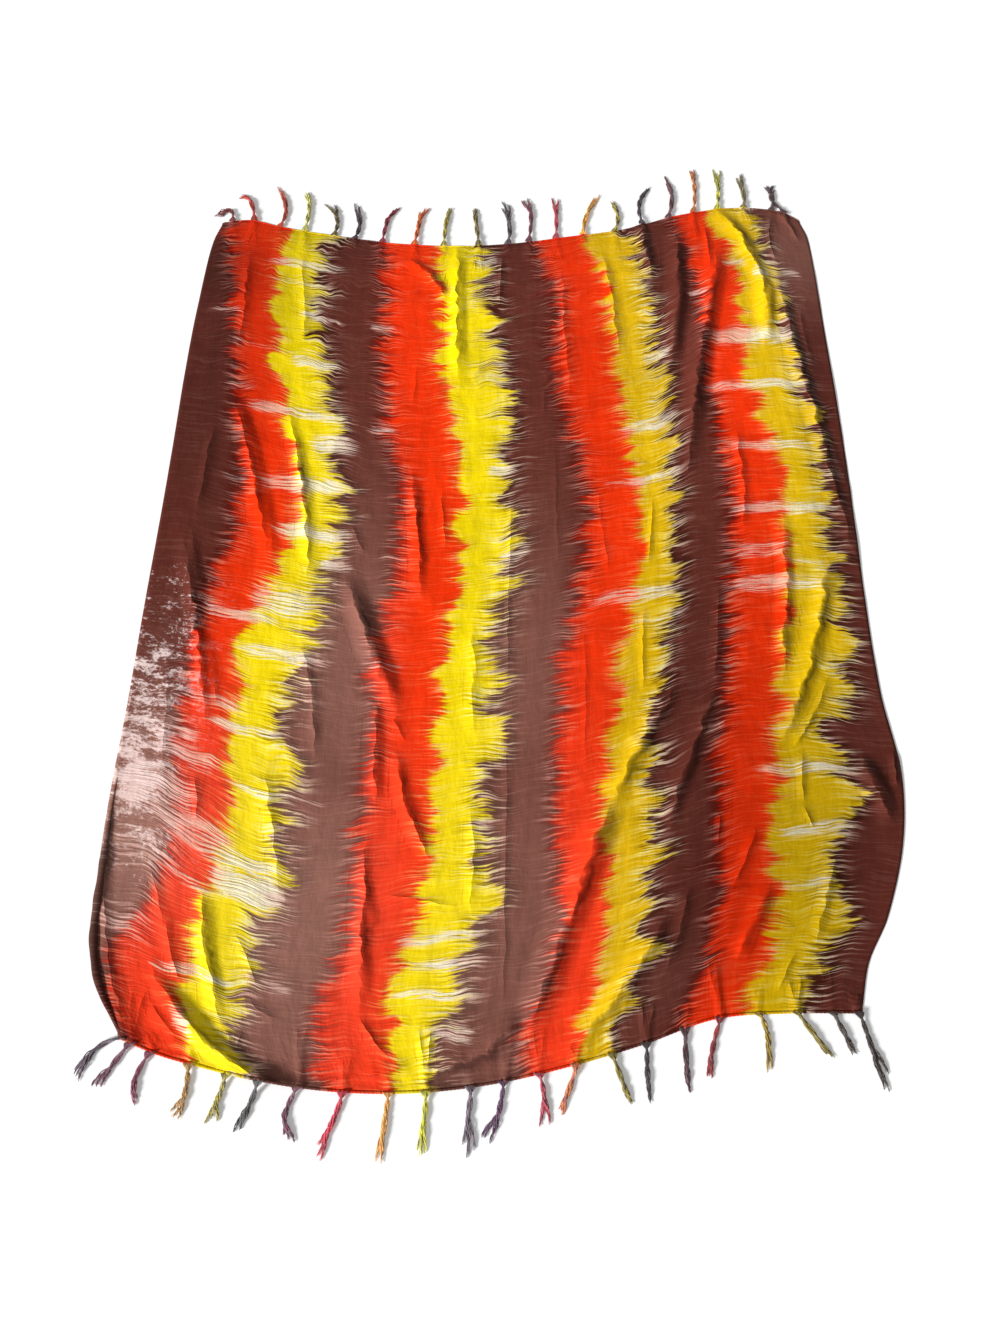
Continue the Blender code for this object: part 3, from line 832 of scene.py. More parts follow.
class Noise(NamedTuple):
    """How long a noise's marks are across the cloth and along it, in metres, and their detail.

    With a swing, the noise is stretched to run from minus it to plus it.
    """

    across: float
    along: float
    detail: float = 2.0
    roughness: float = 0.5
    swing: float = 0.0


# The noises over the cloth as it was cut. Threads are drawn coarser than they are, to show.
CUT_NOISES = {
    "wide sway": Noise(0.085, 0.070, 1.0, swing=4.5 * MM),
    "small sway": Noise(0.024, 0.040, 1.0, swing=1.35 * MM),
    "waver": Noise(0.030, 0.030, swing=0.09),
    "breaks": Noise(0.040, 0.050),
    "weft": Noise(0.060, 1.6 * MM),
    "warp": Noise(1.6 * MM, 0.060),
    "bands": Noise(0.020, 0.350),
}

# The noises that wave with the weft
DRAWN_NOISES = {
    "drift": Noise(0.300, 0.030, 1.0, swing=0.10),
    "bulge": Noise(0.400, 0.075, 1.0, swing=1.0),
    "coarse fingers": Noise(0.130, 8.0 * MM, 2.0, 0.6, 0.60),
    "fine fingers": Noise(0.080, 2.8 * MM, 1.0, swing=0.75),
    "reach": Noise(0.100, 0.060, 1.0),
    "gathers": Noise(0.065, 3.2 * MM, 2.0, 0.55),
    "lines": Noise(0.060, 3.2 * MM, 2.0, 0.6),
    "cracks": Noise(9.0 * MM, 5.0 * MM, 6.0, 0.75),
    "patches": Noise(0.055, 0.022),
    "clouds": Noise(0.080, 0.050, 3.0),
    "crumple": Noise(0.020, 0.045, 3.0),
}

CLOTH_MARKS = ("stripe", "bare", "crackle", "shade", "veil", "crease_side", "crease_depth")


@dataclass
class RayonCloth:
    """Plain-weave viscose rayon, dyed in stripes that were bound and dipped.

    The smooth filament gives it a soft sheen. The dye crept along the weft into thin points at
    each border, and the binding left pale ridges beside them, with dark lines in the hollows between
    that are partly dye and partly painted shade. In the methods, band is the place within a run of
    three stripes, from 0 to 1, and phase is the same place with the points of the creeping dye.
    """

    thread: float = 0.9 * MM
    roughness: float = 0.55
    sheen: float = 0.02
    golden_dye: str = "#dca206"
    wax_white: str = "#f6deda"
    sheen_and_faded_pink: str = "#f0b8a4"
    found: dict[str, Socket] = field(default_factory=dict)

    def __post_init__(self) -> None:
        """Start the node tree with the cloth's coordinates, its marks and its noises."""
        self.made = bpy.data.materials.new("Tie_dyed_viscose_rayon")
        self.made.use_nodes = True
        self.uv = self.add("UVMap", uv_map="cloth")
        for name in CLOTH_MARKS:
            self.found[name] = self.add("Attribute", (), "Fac", attribute_name=name)
        self.add_noises(self.uv, CUT_NOISES)
        self.add_noises(self.swayed(), DRAWN_NOISES)

    def add(
        self, kind: str, inputs: Sequence | dict = (), output: int | str = 0, **settings: object
    ) -> Socket:
        """Add a node to the cloth's own tree, as add_node does."""
        return add_node(self.made.node_tree, kind, inputs, output, **settings)

    def add_noises(self, place: Socket, noises: dict[str, Noise]) -> None:
        """Add a table of noises.

        Args:
            place: the coordinates that they lie on, in metres.
            noises: the table.
        """
        for name, noise_marks in noises.items():
            across, along, detail, roughness, swing = noise_marks
            scale = (1 / across, 1 / along, 1.0)
            inputs = {"Vector": self.add("Mapping", {"Vector": place, "Scale": scale})}
            inputs.update({"Scale": 1.0, "Detail": detail, "Roughness": roughness})
            value = self.add("TexNoise", inputs, "Fac")
            if swing:
                limits = {"From Min": 0.3, "From Max": 0.7, "To Min": -swing, "To Max": swing}
                value = self.add("MapRange", {"Value": value, **limits})
            self.found[name] = value

    def chain(self, value: Socket, *steps: tuple) -> Socket:
        """Pass a value through a chain of nodes.

        Args:
            value: what the chain starts from.
            *steps: for each node, what it does and the values that it needs. RAMP reads a table
                of colours or numbers, RISE goes smoothly from 0 to 1 between two values, and any
                other word is an arithmetic operation.

        Returns:
            The last node's output.
        """
        for work, *others in steps:
            if work == "RAMP":
                value = self.add("ValToRGB", [value], stops=others[0])
            elif work == "RISE":
                inputs = {"Value": value, "From Min": others[0], "From Max": others[1]}
                value = self.add("MapRange", inputs, interpolation_type="SMOOTHSTEP")
            else:
                value = self.add("Math", (value, *others), operation=work)
        return value

    def swayed(self) -> Socket:
        """Return coordinates that wave along the cloth, as its weft was pulled by the binding."""
        along = self.add("SeparateXYZ", [self.uv], "Y")
        more = self.chain(along, ("RISE", 0.85, 1.35), ("MULTIPLY_ADD", 1.3, 0.8))
        wide, small = self.found["wide sway"], self.found["small sway"]
        move = self.chain(wide, ("ADD", small), ("MULTIPLY", more))
        offset = self.add("CombineXYZ", {"Y": move})
        return self.add("VectorMath", (self.uv, offset), operation="ADD")

    def within_three(self, stripe: Socket) -> Socket:
        """Return the place within a run of three stripes, from 0 to 1."""
        kept = self.chain(stripe, ("MAXIMUM", 0.50), ("MINIMUM", 12.56))
        return self.chain(kept, ("FLOORED_MODULO", 3.0), ("DIVIDE", 3.0))

    def material(self) -> bpy.types.Material:
        """Build the cloth's material."""
        found, stripe, gathers = self.found, self.found["stripe"], self.found["gathers"]
        bulge = self.chain(found["bulge"], ("ABSOLUTE",), ("POWER", 0.6))
        lobes = self.lobes(bulge, self.within_three(stripe))
        plain = self.chain(stripe, ("ADD", found["drift"]), ("ADD", lobes))
        band = self.within_three(plain)
        phase = self.within_three(self.chain(plain, ("ADD", self.fingers(band))))
        troughs = self.chain(bulge, ("MULTIPLY_ADD", -0.75, 1.35))
        beside = self.chain(self.gathered(band), ("MULTIPLY", troughs))
        tied = self.chain(found["bare"], ("MULTIPLY_ADD", 0.6, beside), ("MINIMUM", 1.0))
        stops = [(0.0, 1.0), (0.27, 1.0), (0.36, 0.30), (0.6, 0.22), (0.95, 0.1), (1.0, 1.0)]
        on_maroon = self.chain(phase, ("RAMP", stops))

        colour = self.dyes(phase)
        layers = [self.golden(phase), *self.ridges(phase, tied), self.bared(phase)]
        layers += [self.crackled(on_maroon), self.veiled(on_maroon)]
        for amount, over in layers:
            colour = self.add("Mix", {0: amount, 6: colour, 7: over}, 2, data_type="RGBA")
        # The tone carries the painted shade marks, and the creases add painted shade and painted
        # highlights
        side, depth = self.crease()
        for tone in (self.tone(), self.shading(side, depth)):
            inputs = {0: 1.0, 6: colour, 7: self.add("CombineColor", [tone] * 3)}
            colour = self.add("Mix", inputs, 2, data_type="RGBA", blend_type="MULTIPLY")

        rough = self.chain(gathers, ("MULTIPLY_ADD", 0.16, self.roughness - 0.08))
        bound = self.chain(beside, ("ADD", found["bare"]))
        tree = self.made.node_tree
        inputs = {"Base Color": colour, "Roughness": rough, "Normal": self.bump(bound, side, depth)}
        inputs.update({"Sheen Weight": self.sheen, "Sheen Roughness": 0.4, "Specular IOR Level": 0.06})
        fill(tree, tree.nodes["Principled BSDF"], inputs)
        return self.made

    def lobes(self, bulge: Socket, band: Socket) -> Socket:
        """Return how far the yellow and the red bulge out in round lobes, in stripes."""
        stops = [(0.0, 0.22), (0.15, 0.35), (0.25, 0.55), (0.333, 0.60), (0.45, 0.50)]
        stops += [(0.60, 0.65), (0.68, 0.70), (0.80, 0.50), (0.90, 0.26), (1.0, 0.22)]
        reach = self.chain(band, ("RAMP", stops), ("MULTIPLY_ADD", 2.0, -1.0))
        return self.chain(reach, ("MULTIPLY", self.chain(bulge, ("SUBTRACT", 0.58))))

    def fingers(self, band: Socket) -> Socket:
        """Return how far the dye crept past its border, in stripes, in long thin points."""
        stops = [(0.0, 0.16), (0.10, 0.13), (0.25, 0.12), (0.333, 0.14), (0.45, 0.12)]
        stops += [(0.60, 0.09), (0.70, 0.10), (0.85, 0.14), (1.0, 0.16)]
        reach = self.chain(band, ("RAMP", stops))
        uneven = self.chain(self.found["reach"], ("MULTIPLY_ADD", 2.4, -0.2))
        coarse, fine = self.found["coarse fingers"], self.found["fine fingers"]
        return self.chain(coarse, ("ADD", fine), ("MULTIPLY", uneven), ("MULTIPLY", reach))

    def gathered(self, band: Socket) -> Socket:
        """Return how strongly the cloth was gathered, which is most at the borders."""
        stops = [(0.0, 1.0), (0.045, 0.85), (0.09, 0.32), (0.14, 0.08), (0.24, 0.14), (0.30, 0.60)]
        stops += [(0.36, 0.75), (0.43, 0.45), (0.50, 0.18), (0.58, 0.18), (0.65, 0.75), (0.72, 0.50)]
        stops += [(0.78, 0.12), (0.87, 0.45), (0.94, 1.0), (1.0, 1.0)]
        return self.chain(band, ("RAMP", stops))

    def dyes(self, phase: Socket) -> Socket:
        """Return the dye's own colour, which blends where two stripes meet."""
        maroon, red, yellow = (dye.value for dye in Dye)
        stops = [(0.0, "#4a2014"), (0.035, "#4b1e15"), (0.08, maroon), (0.24, maroon)]
        stops += [(0.305, "#5e1a0f"), (0.335, "#961a06"), (0.365, "#cf2604"), (0.40, red)]
        stops += [(0.63, red), (0.660, "#f44c04"), (0.678, "#f29404"), (0.70, yellow)]
        stops += [(0.94, yellow), (0.970, "#e6c83a"), (0.988, "#86602a"), (1.0, "#4a2014")]
        return self.chain(phase, ("RAMP", stops))

    def golden(self, phase: Socket) -> tuple[Socket, tuple]:
        """Deepen the yellow of the two stripes on the right, which took more of the dye."""
        on_yellow = [(0.63, 0.0), (0.70, 1.0), (0.94, 1.0), (0.985, 0.0)]
        on_right = [(0.52, 0.0), (0.66, 0.7), (1.0, 0.6)]
        yellow = self.chain(phase, ("RAMP", on_yellow))
        right = self.chain(self.found["stripe"], ("DIVIDE", 12.0), ("RAMP", on_right))
        return self.chain(right, ("MULTIPLY", yellow)), linear(self.golden_dye)

    def ridges(self, phase: Socket, tied: Socket) -> list[tuple[Socket, Socket]]:
        """Lay pale ridges and dark hollows, which are partly painted shade, over the gathered dye."""
        pale = [(0.0, "#ecd6b0"), (0.06, "#d8b09e"), (0.2, "#96645a"), (0.30, "#d08c80")]
        pale += [(0.36, "#ff8a68"), (0.5, "#ff5c34"), (0.62, "#ff9a58"), (0.68, "#ffcf80")]
        pale += [(0.8, "#fdee58"), (0.94, "#f2e9a6"), (1.0, "#e6cfa6")]
        # The dark hollows are partly dye and partly painted shade beside the ridges
        deep = [(0.0, "#3c1a0e"), (0.1, "#4c2018"), (0.3, "#560f06"), (0.40, "#8a1004")]
        deep += [(0.6, "#c42a04"), (0.67, "#d25204"), (0.75, "#cfae04"), (0.92, "#8a6a0e")]
        deep += [(1.0, "#3c1a0e")]
        layers = []
        for low, high, strength, stops in ((0.52, 0.60, 0.90, pale), (0.48, 0.40, 0.78, deep)):
            shown = self.chain(self.found["gathers"], ("RISE", low, high), ("MULTIPLY", tied))
            colour = self.chain(phase, ("RAMP", stops))
            layers.append((self.chain(shown, ("MULTIPLY", strength)), colour))
        return layers

    def bared(self, phase: Socket) -> tuple[Socket, Socket]:
        """Lay streaks that were bound so tightly that the dye hardly took."""
        lines = self.chain(self.found["lines"], ("MULTIPLY_ADD", 4.2, -1.2))
        steps = (("MULTIPLY", lines), ("RISE", 0.32, 0.80), ("MULTIPLY", 0.92))
        amount = self.chain(self.found["bare"], *steps)
        stops = [(0.0, "#ecd8c0"), (0.15, "#dfb9b0"), (0.34, "#eebdb0"), (0.5, "#f5a892")]
        stops += [(0.66, "#fbd0b0"), (0.75, "#f7ecc4"), (0.95, "#f4ead0"), (1.0, "#ecd8c0")]
        return amount, self.chain(phase, ("RAMP", stops))

    def crackled(self, on_maroon: Socket) -> tuple[Socket, tuple]:
        """Mottle the maroon like cracked wax where its marks say so."""
        uneven = self.chain(self.found["patches"], ("MULTIPLY_ADD", 2.2, -0.45))
        steps = (("MULTIPLY", uneven), ("MULTIPLY_ADD", 0.42, -0.25))
        marks = self.chain(self.found["crackle"], *steps)
        shown = self.chain(self.found["cracks"], ("ADD", marks), ("RISE", 0.42, 0.60))
        amount = self.chain(shown, ("MULTIPLY", 0.92), ("MULTIPLY", on_maroon))
        return amount, linear(self.wax_white)

    def veiled(self, on_maroon: Socket) -> tuple[Socket, tuple]:
        """Pale the maroon where its marks say so: partly a painted sheen, partly dye that took less.
        """
        return self.chain(self.found["veil"], ("MULTIPLY", on_maroon)), linear(self.sheen_and_faded_pink)

    def tone(self) -> Socket:
        """Return how light the dye is, uneven and with the threads showing both ways, times the shade
        marks, which are partly painted shade.
        """
        threads = self.chain(self.found["weft"], ("ADD", self.found["warp"]))
        tone = self.chain(threads, ("MULTIPLY_ADD", 0.05, 0.65))
        tone = self.chain(self.found["bands"], ("MULTIPLY_ADD", 0.24, tone))
        tone = self.chain(self.found["clouds"], ("MULTIPLY_ADD", 0.36, tone))
        # The shade marks darken the colour: partly painted shade, partly darker dye
        lit = self.chain(self.found["shade"], ("MULTIPLY_ADD", -1.0, 1.0))
        return self.chain(tone, ("MULTIPLY", lit))

    def crease(self) -> tuple[Socket, Socket]:
        """Return the place across the nearest crease, from 0 to 1, and its depth, both uneven."""
        side = self.chain(self.found["crease_side"], ("MULTIPLY_ADD", 0.5, 0.5))
        broken = self.chain(self.found["breaks"], ("MULTIPLY_ADD", 1.6, 0.12))
        depth = self.chain(self.found["crease_depth"], ("MULTIPLY", broken))
        return self.chain(side, ("ADD", self.found["waver"])), depth

    def shading(self, side: Socket, depth: Socket) -> Socket:
        """Paint shade into the hollow beside each crease and a highlight on its lit side."""
        hollow = [(0.0, 0.0), (0.51, 0.0), (0.58, 0.9), (0.63, 1.0), (0.71, 0.45), (0.93, 0.0)]
        lit = [(0.10, 0.0), (0.34, 0.5), (0.45, 1.0), (0.52, 0.5), (0.56, 0.0)]
        shade = 1.0
        for stops, strength in ((hollow, -0.68), (lit, 0.28)):
            shown = self.chain(side, ("RAMP", stops), ("MULTIPLY", depth))
            shade = self.chain(shown, ("MULTIPLY_ADD", strength, shade))
        return shade

    def bump(self, bound: Socket, side: Socket, depth: Socket) -> Socket:
        """Return the normal of the weave, the gathers, the fine crumple and the creases.

        Args:
            bound: how strongly the cloth was bound.
            side: the place across the nearest crease.
            depth: how deep that crease is.

        Returns:
            The normal.
        """
        waves = []
        for way in ("X", "Y"):
            inputs = {"Vector": self.uv, "Scale": math.tau / 20 / self.thread}
            waves.append(self.add("TexWave", inputs, "Fac", bands_direction=way))
        weave = self.chain(waves[0], ("MULTIPLY", waves[1]))
        tight = self.chain(bound, ("MINIMUM", 1.0))
        ridges = self.chain(self.found["gathers"], ("MULTIPLY", tight))
        stops = [(0.1, 0.0), (0.42, 0.6), (0.5, 1.0), (0.56, 0.4), (0.8, 0.0)]
        crest = self.chain(side, ("RAMP", stops), ("MULTIPLY", depth))
        layers = [(weave, 0.10), (ridges, 2.6), (self.found["crumple"], 2.0), (crest, 2.5)]
        inputs = {}
        for height, distance in layers:
            inputs.update({"Height": height, "Distance": distance * MM})
            inputs["Normal"] = self.add("Bump", inputs)
        return inputs["Normal"]


@dataclass(frozen=True)
class FringeYarn:
    """Loosely twisted rayon yarn, dyed with the cloth, so that its colour runs unevenly."""

    roughness: float = 0.6
    sheen: float = 0.15
    mottle: float = 9 * MM
    fibre: float = 1.2 * MM
    relief: float = 0.3 * MM

    def material(self) -> bpy.types.Material:
        """Build the yarn's material, which takes its colour from the mesh."""
        made = bpy.data.materials.new("Twisted_rayon_yarn")
        made.use_nodes = True
        tree = made.node_tree
        own = add_node(tree, "Attribute", (), "Color", attribute_name="yarn_colour")
        place = add_node(tree, "TexCoord", (), "Object")
        inputs = {"Vector": place, "Scale": 1 / self.mottle, "Detail": 3.0}
        patches = add_node(tree, "TexNoise", inputs, "Fac")
        stops = [(0.30, 0.70), (0.50, 1.0), (0.72, 1.45)]
        uneven = add_node(tree, "ValToRGB", [patches], stops=stops)
        inputs = {0: 1.0, 6: own, 7: uneven}
        colour = add_node(tree, "Mix", inputs, 2, data_type="RGBA", blend_type="MULTIPLY")
        inputs = {"Vector": place, "Scale": 1 / self.fibre, "Detail": 2.0}
        fibres = add_node(tree, "TexNoise", inputs, "Fac")
        normal = add_node(tree, "Bump", {"Height": fibres, "Distance": self.relief})
        inputs = {"Base Color": colour, "Roughness": self.roughness, "Sheen Weight": self.sheen}
        inputs["Normal"] = normal
        fill(tree, tree.nodes["Principled BSDF"], inputs)
        return made


def finish_piece(
    name: str, mesh: bpy.types.Mesh, material: bpy.types.Material, node: str
) -> bpy.types.Object:
    """Put a piece into the scene, smooth and riding on the shawl's body.

    Args:
        name: the piece's name.
        mesh: its finished mesh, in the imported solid's frame.
        material: its finish.
        node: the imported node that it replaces.

    Returns:
        The new object.
    """
    mesh.materials.append(material)
    mesh.shade_smooth()
    piece = bpy.data.objects.new(name, mesh)
    bpy.context.scene.collection.objects.link(piece)
    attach(piece, "root")
    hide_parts(node)
    log.info("%s: %d faces", name, len(mesh.polygons))
    return piece


def points_of(mesh: bpy.types.Mesh) -> np.ndarray:
    """Return a mesh's points, one row of x, y and z for each."""
    co = np.empty(len(mesh.vertices) * 3, np.float32)
    mesh.vertices.foreach_get("co", co)
    return co.reshape(-1, 3)


def dress_cloth(
    mesh: bpy.types.Mesh, across: np.ndarray, along: np.ndarray, shade: float | None = None
) -> None:
    """Give a piece of cloth the coordinates and marks that its material reads.

    Args:
        mesh: the piece's mesh.
        across: each point's share of the width.
        along: each point's share of the length.
        shade: how dark the whole piece is, where the chart doesn't say so.
    """
    spots = CHART.drawn(across, along)
    marks = {
        "stripe": CHART.stripe(across, along),
        "bare": CHART.amount(BARE_STREAKS, across, spots[:, 1] / CUT_LENGTH),
        "crackle": CHART.amount(CRACKLED, across, along),
        "shade": CHART.amount(SHADED, across, along),
        "veil": CHART.amount(VEILED, across, along),
    }
    if shade is not None:
        marks["shade"] = np.full(len(across), shade)
    for name, values in marks.items():
        layer = mesh.attributes.new(name, "FLOAT", "POINT")
        layer.data.foreach_set("value", values.astype(np.float32))
    corners = np.empty(len(mesh.loops), np.int32)
    mesh.loops.foreach_get("vertex_index", corners)
    layer = mesh.uv_layers.new(name="cloth")
    layer.data.foreach_set("uv", spots[corners].astype(np.float32).ravel())


@dataclass
class WovenPanel:
    """The cloth itself: one thin closed shell with its folds."""

    thickness: float = 0.8 * MM
    clearance: float = 0.2 * MM
    overhang: float = 4.2 * MM
    cells_across: int = 236
    cells_along: int = 206

    def mesh(self) -> bpy.types.Mesh:
        """Build the shell from a grid whose points are moved onto the folds."""
        build = bmesh.new()
        size = {"x_segments": self.cells_across, "y_segments": self.cells_along, "size": 0.5}
        bmesh.ops.create_grid(build, **size)
        names = ("across", "along", "crease_side", "crease_depth")
        layers = [build.verts.layers.float.new(name) for name in names]
        past_end = self.overhang / OUTLINE.length
        shares = np.array([(v.co.x + 0.5, v.co.y + 0.5) for v in build.verts])
        across = shares[:, 0]
        along = shares[:, 1] * (1 + 2 * past_end) - past_end
        plan = OUTLINE.place(across, along)
        lie = RELIEF.lie(plan)
        lift = lie.lift + self.clearance
        plan += OUTLINE.shift()
        values = np.stack([across, along, lie.side, lie.depth], axis=-1)
        for vertex, place, height, marks in zip(build.verts, plan, lift, values):
            vertex.co = (place[0], place[1], height)
            for layer, mark in zip(layers, marks):
                vertex[layer] = mark
        top = bmesh.ops.extrude_face_region(build, geom=build.faces[:], use_keep_orig=True)
        raised = [item for item in top["geom"] if isinstance(item, bmesh.types.BMVert)]
        bmesh.ops.translate(build, verts=raised, vec=(0, 0, self.thickness))
        bmesh.ops.recalc_face_normals(build, faces=build.faces[:])
        mesh = bpy.data.meshes.new("woven_cloth")
        build.to_mesh(mesh)
        build.free()
        return mesh

    def build(self, material: bpy.types.Material) -> bpy.types.Object:
        """Build and dress the cloth."""
        mesh = self.mesh()
        across, along = (np.empty(len(mesh.vertices), np.float32) for _ in range(2))
        mesh.attributes["across"].data.foreach_get("value", across)
        mesh.attributes["along"].data.foreach_get("value", along)
        dress_cloth(mesh, across, along)
        return finish_piece("woven_cloth", mesh, material, "woven_panel")


def rod_mesh(sides: int, rings: int) -> bpy.types.Mesh:
    """Build a plain closed rod along z, one unit long and one in radius.

    Args:
        sides: how many sides it has.
        rings: how many rings of points it has, its two ends among them.

    Returns:
        The rod's mesh.
    """
    build = bmesh.new()
    size = {"radius1": 1.0, "radius2": 1.0, "depth": 1.0}
    bmesh.ops.create_cone(build, cap_ends=True, segments=sides, **size)
    lengthwise = [e for e in build.edges if abs(e.verts[0].co.z - e.verts[1].co.z) > 0.5]
    bmesh.ops.subdivide_edges(build, edges=lengthwise, cuts=rings - 2)
    mesh = bpy.data.meshes.new("rod")
    build.to_mesh(mesh)
    build.free()
    return mesh


def bend_rods(
    name: str, sides: int, centres: np.ndarray, sideways: np.ndarray, upright: np.ndarray
) -> bpy.types.Mesh:
    """Lay copies of a rod along paths.

    Args:
        name: the new mesh's name.
        sides: how many sides each rod has.
        centres: the middle of each ring, by rod and ring.
        sideways: each ring's sideways radius, as a vector.
        upright: each ring's upward radius, as a vector.

    Returns:
        One mesh with all the rods, its faces outwards.
    """
    count, rings = centres.shape[:2]
    rod = rod_mesh(sides, rings)
    x, y, z = points_of(rod).T
    ring = np.rint((z + 0.5) * (rings - 1)).astype(int)
    turn = np.arctan2(y, x)[None, :, None]
    placed = centres[:, ring] + sideways[:, ring] * np.cos(turn) + upright[:, ring] * np.sin(turn)
    build = bmesh.new()
    for _ in range(count):
        build.from_mesh(rod)
    for vertex, place in zip(build.verts, placed.reshape(-1, 3)):
        vertex.co = place
    bmesh.ops.recalc_face_normals(build, faces=build.faces[:])
    mesh = bpy.data.meshes.new(name)
    build.to_mesh(mesh)
    build.free()
    bpy.data.meshes.remove(rod)
    return mesh


class Style(NamedTuple):
    """How one tassel is twisted and how its locks part.

    The last three have a value for each lock: where it parts, how far it goes and to which side.
    """

    turns: float
    neck: float
    parting: np.ndarray
    reach: np.ndarray
    spread: np.ndarray


@dataclass
class Fringe:
    """The tassels of one end: bundles of yarn, twisted as two plies and frayed at the tip."""

    end: EndSide
    tassels: tuple[Tassel, ...]
    bulk: float = 1.0
    yarns: int = 20
    rings: int = 32
    sides: int = 4
    yarn_radius: float = 0.78 * MM
    ply_radius: float = 1.45 * MM
    cord_radius: float = 1.75 * MM
    inner_twist: float = 1.6
    locks: int = 3
    lock_radius: float = 1.3 * MM
    flatness: float = 0.7
    hook: float = 1.3
    early_locks: float = 0.35
    knotted: float = 0.16
    root_spread: float = 7.0 * MM
    root_depth: float = 1.5 * MM
    root_height: float = 1.2 * MM
    above_floor: float = 0.2 * MM
    past_edge: float = 4.2 * MM
    cord_rise: float = 0.4 * MM
    waves: tuple[float, float] = (9.0, 16.0)
    wave_height: tuple[float, float] = (0.2 * MM, 1.0 * MM)
    fan_out: float = 1.35
    frayed: float = 0.8
    thinning: float = 0.55
    brightest: float = 1.7
    strongest_glint: float = 0.16
    glint_grey: float = 0.4
    rng: np.random.Generator = field(default_factory=lambda: np.random.default_rng(11))

    def centre(self, tassel: Tassel, share: np.ndarray) -> tuple[np.ndarray, np.ndarray]:
        """Return a tassel's middle line from its start, and the line's heading."""
        bend, tip = np.array(tassel.bend) * MM, np.array(tassel.tip) * MM
        control, share = 2 * bend - tip / 2, share[:, None]
        line = 2 * share * (1 - share) * control + share**2 * tip
        heading = 2 * (1 - 2 * share) * control + 2 * share * tip
        return line, heading / np.linalg.norm(heading, axis=1, keepdims=True)

    def style(self) -> Style:
        """Draw the style of one tassel."""
        rng, locks = self.rng, self.locks
        lean = rng.choice((-1, 1)) * rng.uniform(0.1, self.hook)
        sides = lean + np.linspace(-1, 1, locks) * rng.uniform(0.3, 0.9) + rng.normal(0, 0.15, locks)
        parting = rng.uniform(0.48, 0.74, locks)
        if rng.random() < self.early_locks:
            parting[0] = rng.uniform(0.25, 0.4)
        reach = rng.uniform(0.84, 1.04, locks)
        return Style(rng.uniform(1.0, 2.1), rng.uniform(0.62, 0.95), parting, reach, sides)

    def yarn(
        self, tassel: Tassel, style: Style, start: np.ndarray, raised: float, index: int
    ) -> tuple[np.ndarray, np.ndarray, np.ndarray]:
        """Work out the path of one yarn.

        Args:
            tassel: its tassel.
            style: how that tassel is twisted.
            start: where the tassel leaves the cloth's edge, in the cloth's frame.
            raised: how far the cloth stands off the floor there.
            index: the yarn's number in its tassel.

        Returns:
            The middle of each ring and its sideways and upward radius.
        """
        rng, away = self.rng, self.end.value[1]
        lock, place = index % self.locks, index // 2
        share = np.linspace(0, 1, self.rings) ** 0.95
        line, heading = self.centre(tassel, share * style.reach[lock] * rng.uniform(0.95, 1.02))
        side = np.stack([heading[:, 1], -heading[:, 0]], axis=1)

        neck = self.bulk * (style.neck + (1 - style.neck) * smooth_step(1.5 * share))
        cord, inner = self.cord_radius * neck, self.ply_radius * neck * (0.5 + 0.5 * (place > 0))
        around = math.tau * (style.turns * share + (index % 2) / 2)
        own = math.tau * 2 * place / self.yarns - around * self.inner_twist
        twisted_side = cord * np.cos(around) + inner * np.cos(own)
        twisted_up = self.flatness * (cord * np.sin(around) + inner * np.sin(own))
        middle = self.flatness * (cord + inner) + self.yarn_radius + self.cord_rise

        opened = smooth_step((share - style.parting[lock]) / (1 - style.parting[lock]))
        lock_radius = self.lock_radius * self.bulk * (1.1 - 0.5 * opened)
        wave = rng.uniform(*self.wave_height)
        wave = wave * np.sin(share * rng.uniform(*self.waves) + rng.uniform(0, 6))
        fan = self.fan_out * tassel.fan * MM * style.spread[lock]
        loose_side = fan + lock_radius * np.cos(own) + wave
        lowest = self.yarn_radius + self.above_floor
        loose_up = lock_radius * (1 + 0.8 * np.sin(own)) + lowest

        tight = smooth_step(share / self.knotted)
        offset = (twisted_side * (1 - opened) + loose_side * opened) * tight
        height = (middle + twisted_up) * (1 - opened) + loose_up * opened
        height = height * tight + self.root_height * (1 - tight)
        height = np.maximum(height + raised * (1 - smooth_step(share * 3)), lowest)
        flat = line + side * offset[:, None]
        flat[:, 0] += (4 * place / self.yarns - 1) * self.root_spread * (1 - tight)
        flat[:, 1] -= self.root_depth * (1 - tight)
        centres = np.stack([start[0] + flat[:, 0], start[1] + away * flat[:, 1], height], axis=1)
        worn = smooth_step((share - self.frayed) / (1 - self.frayed))
        thick = self.yarn_radius * (1 - self.thinning * worn)
        flat_side = np.stack([side[:, 0], away * side[:, 1], np.zeros(self.rings)], axis=1)
        upright = np.tile([0.0, 0.0, 1.0], (self.rings, 1))
        return centres, flat_side * thick[:, None], upright * thick[:, None]

    def colour(self, tassel: Tassel, index: int) -> np.ndarray:
        """Draw the colour of one yarn, where the dye took unevenly, with a painted glint of grey mixed
        in.
        """
        dye = tassel.second if (index // 3) % 3 == 1 else tassel.colour
        shade = self.rng.uniform(1.0, self.brightest)
        # The pale mix is a painted glint
        pale = self.rng.uniform(0.0, self.strongest_glint) ** 2 * 8
        mixed = np.array(linear(dye)) * shade * (1 - pale) + pale * self.glint_grey
        mixed[3] = 1.0
        return mixed

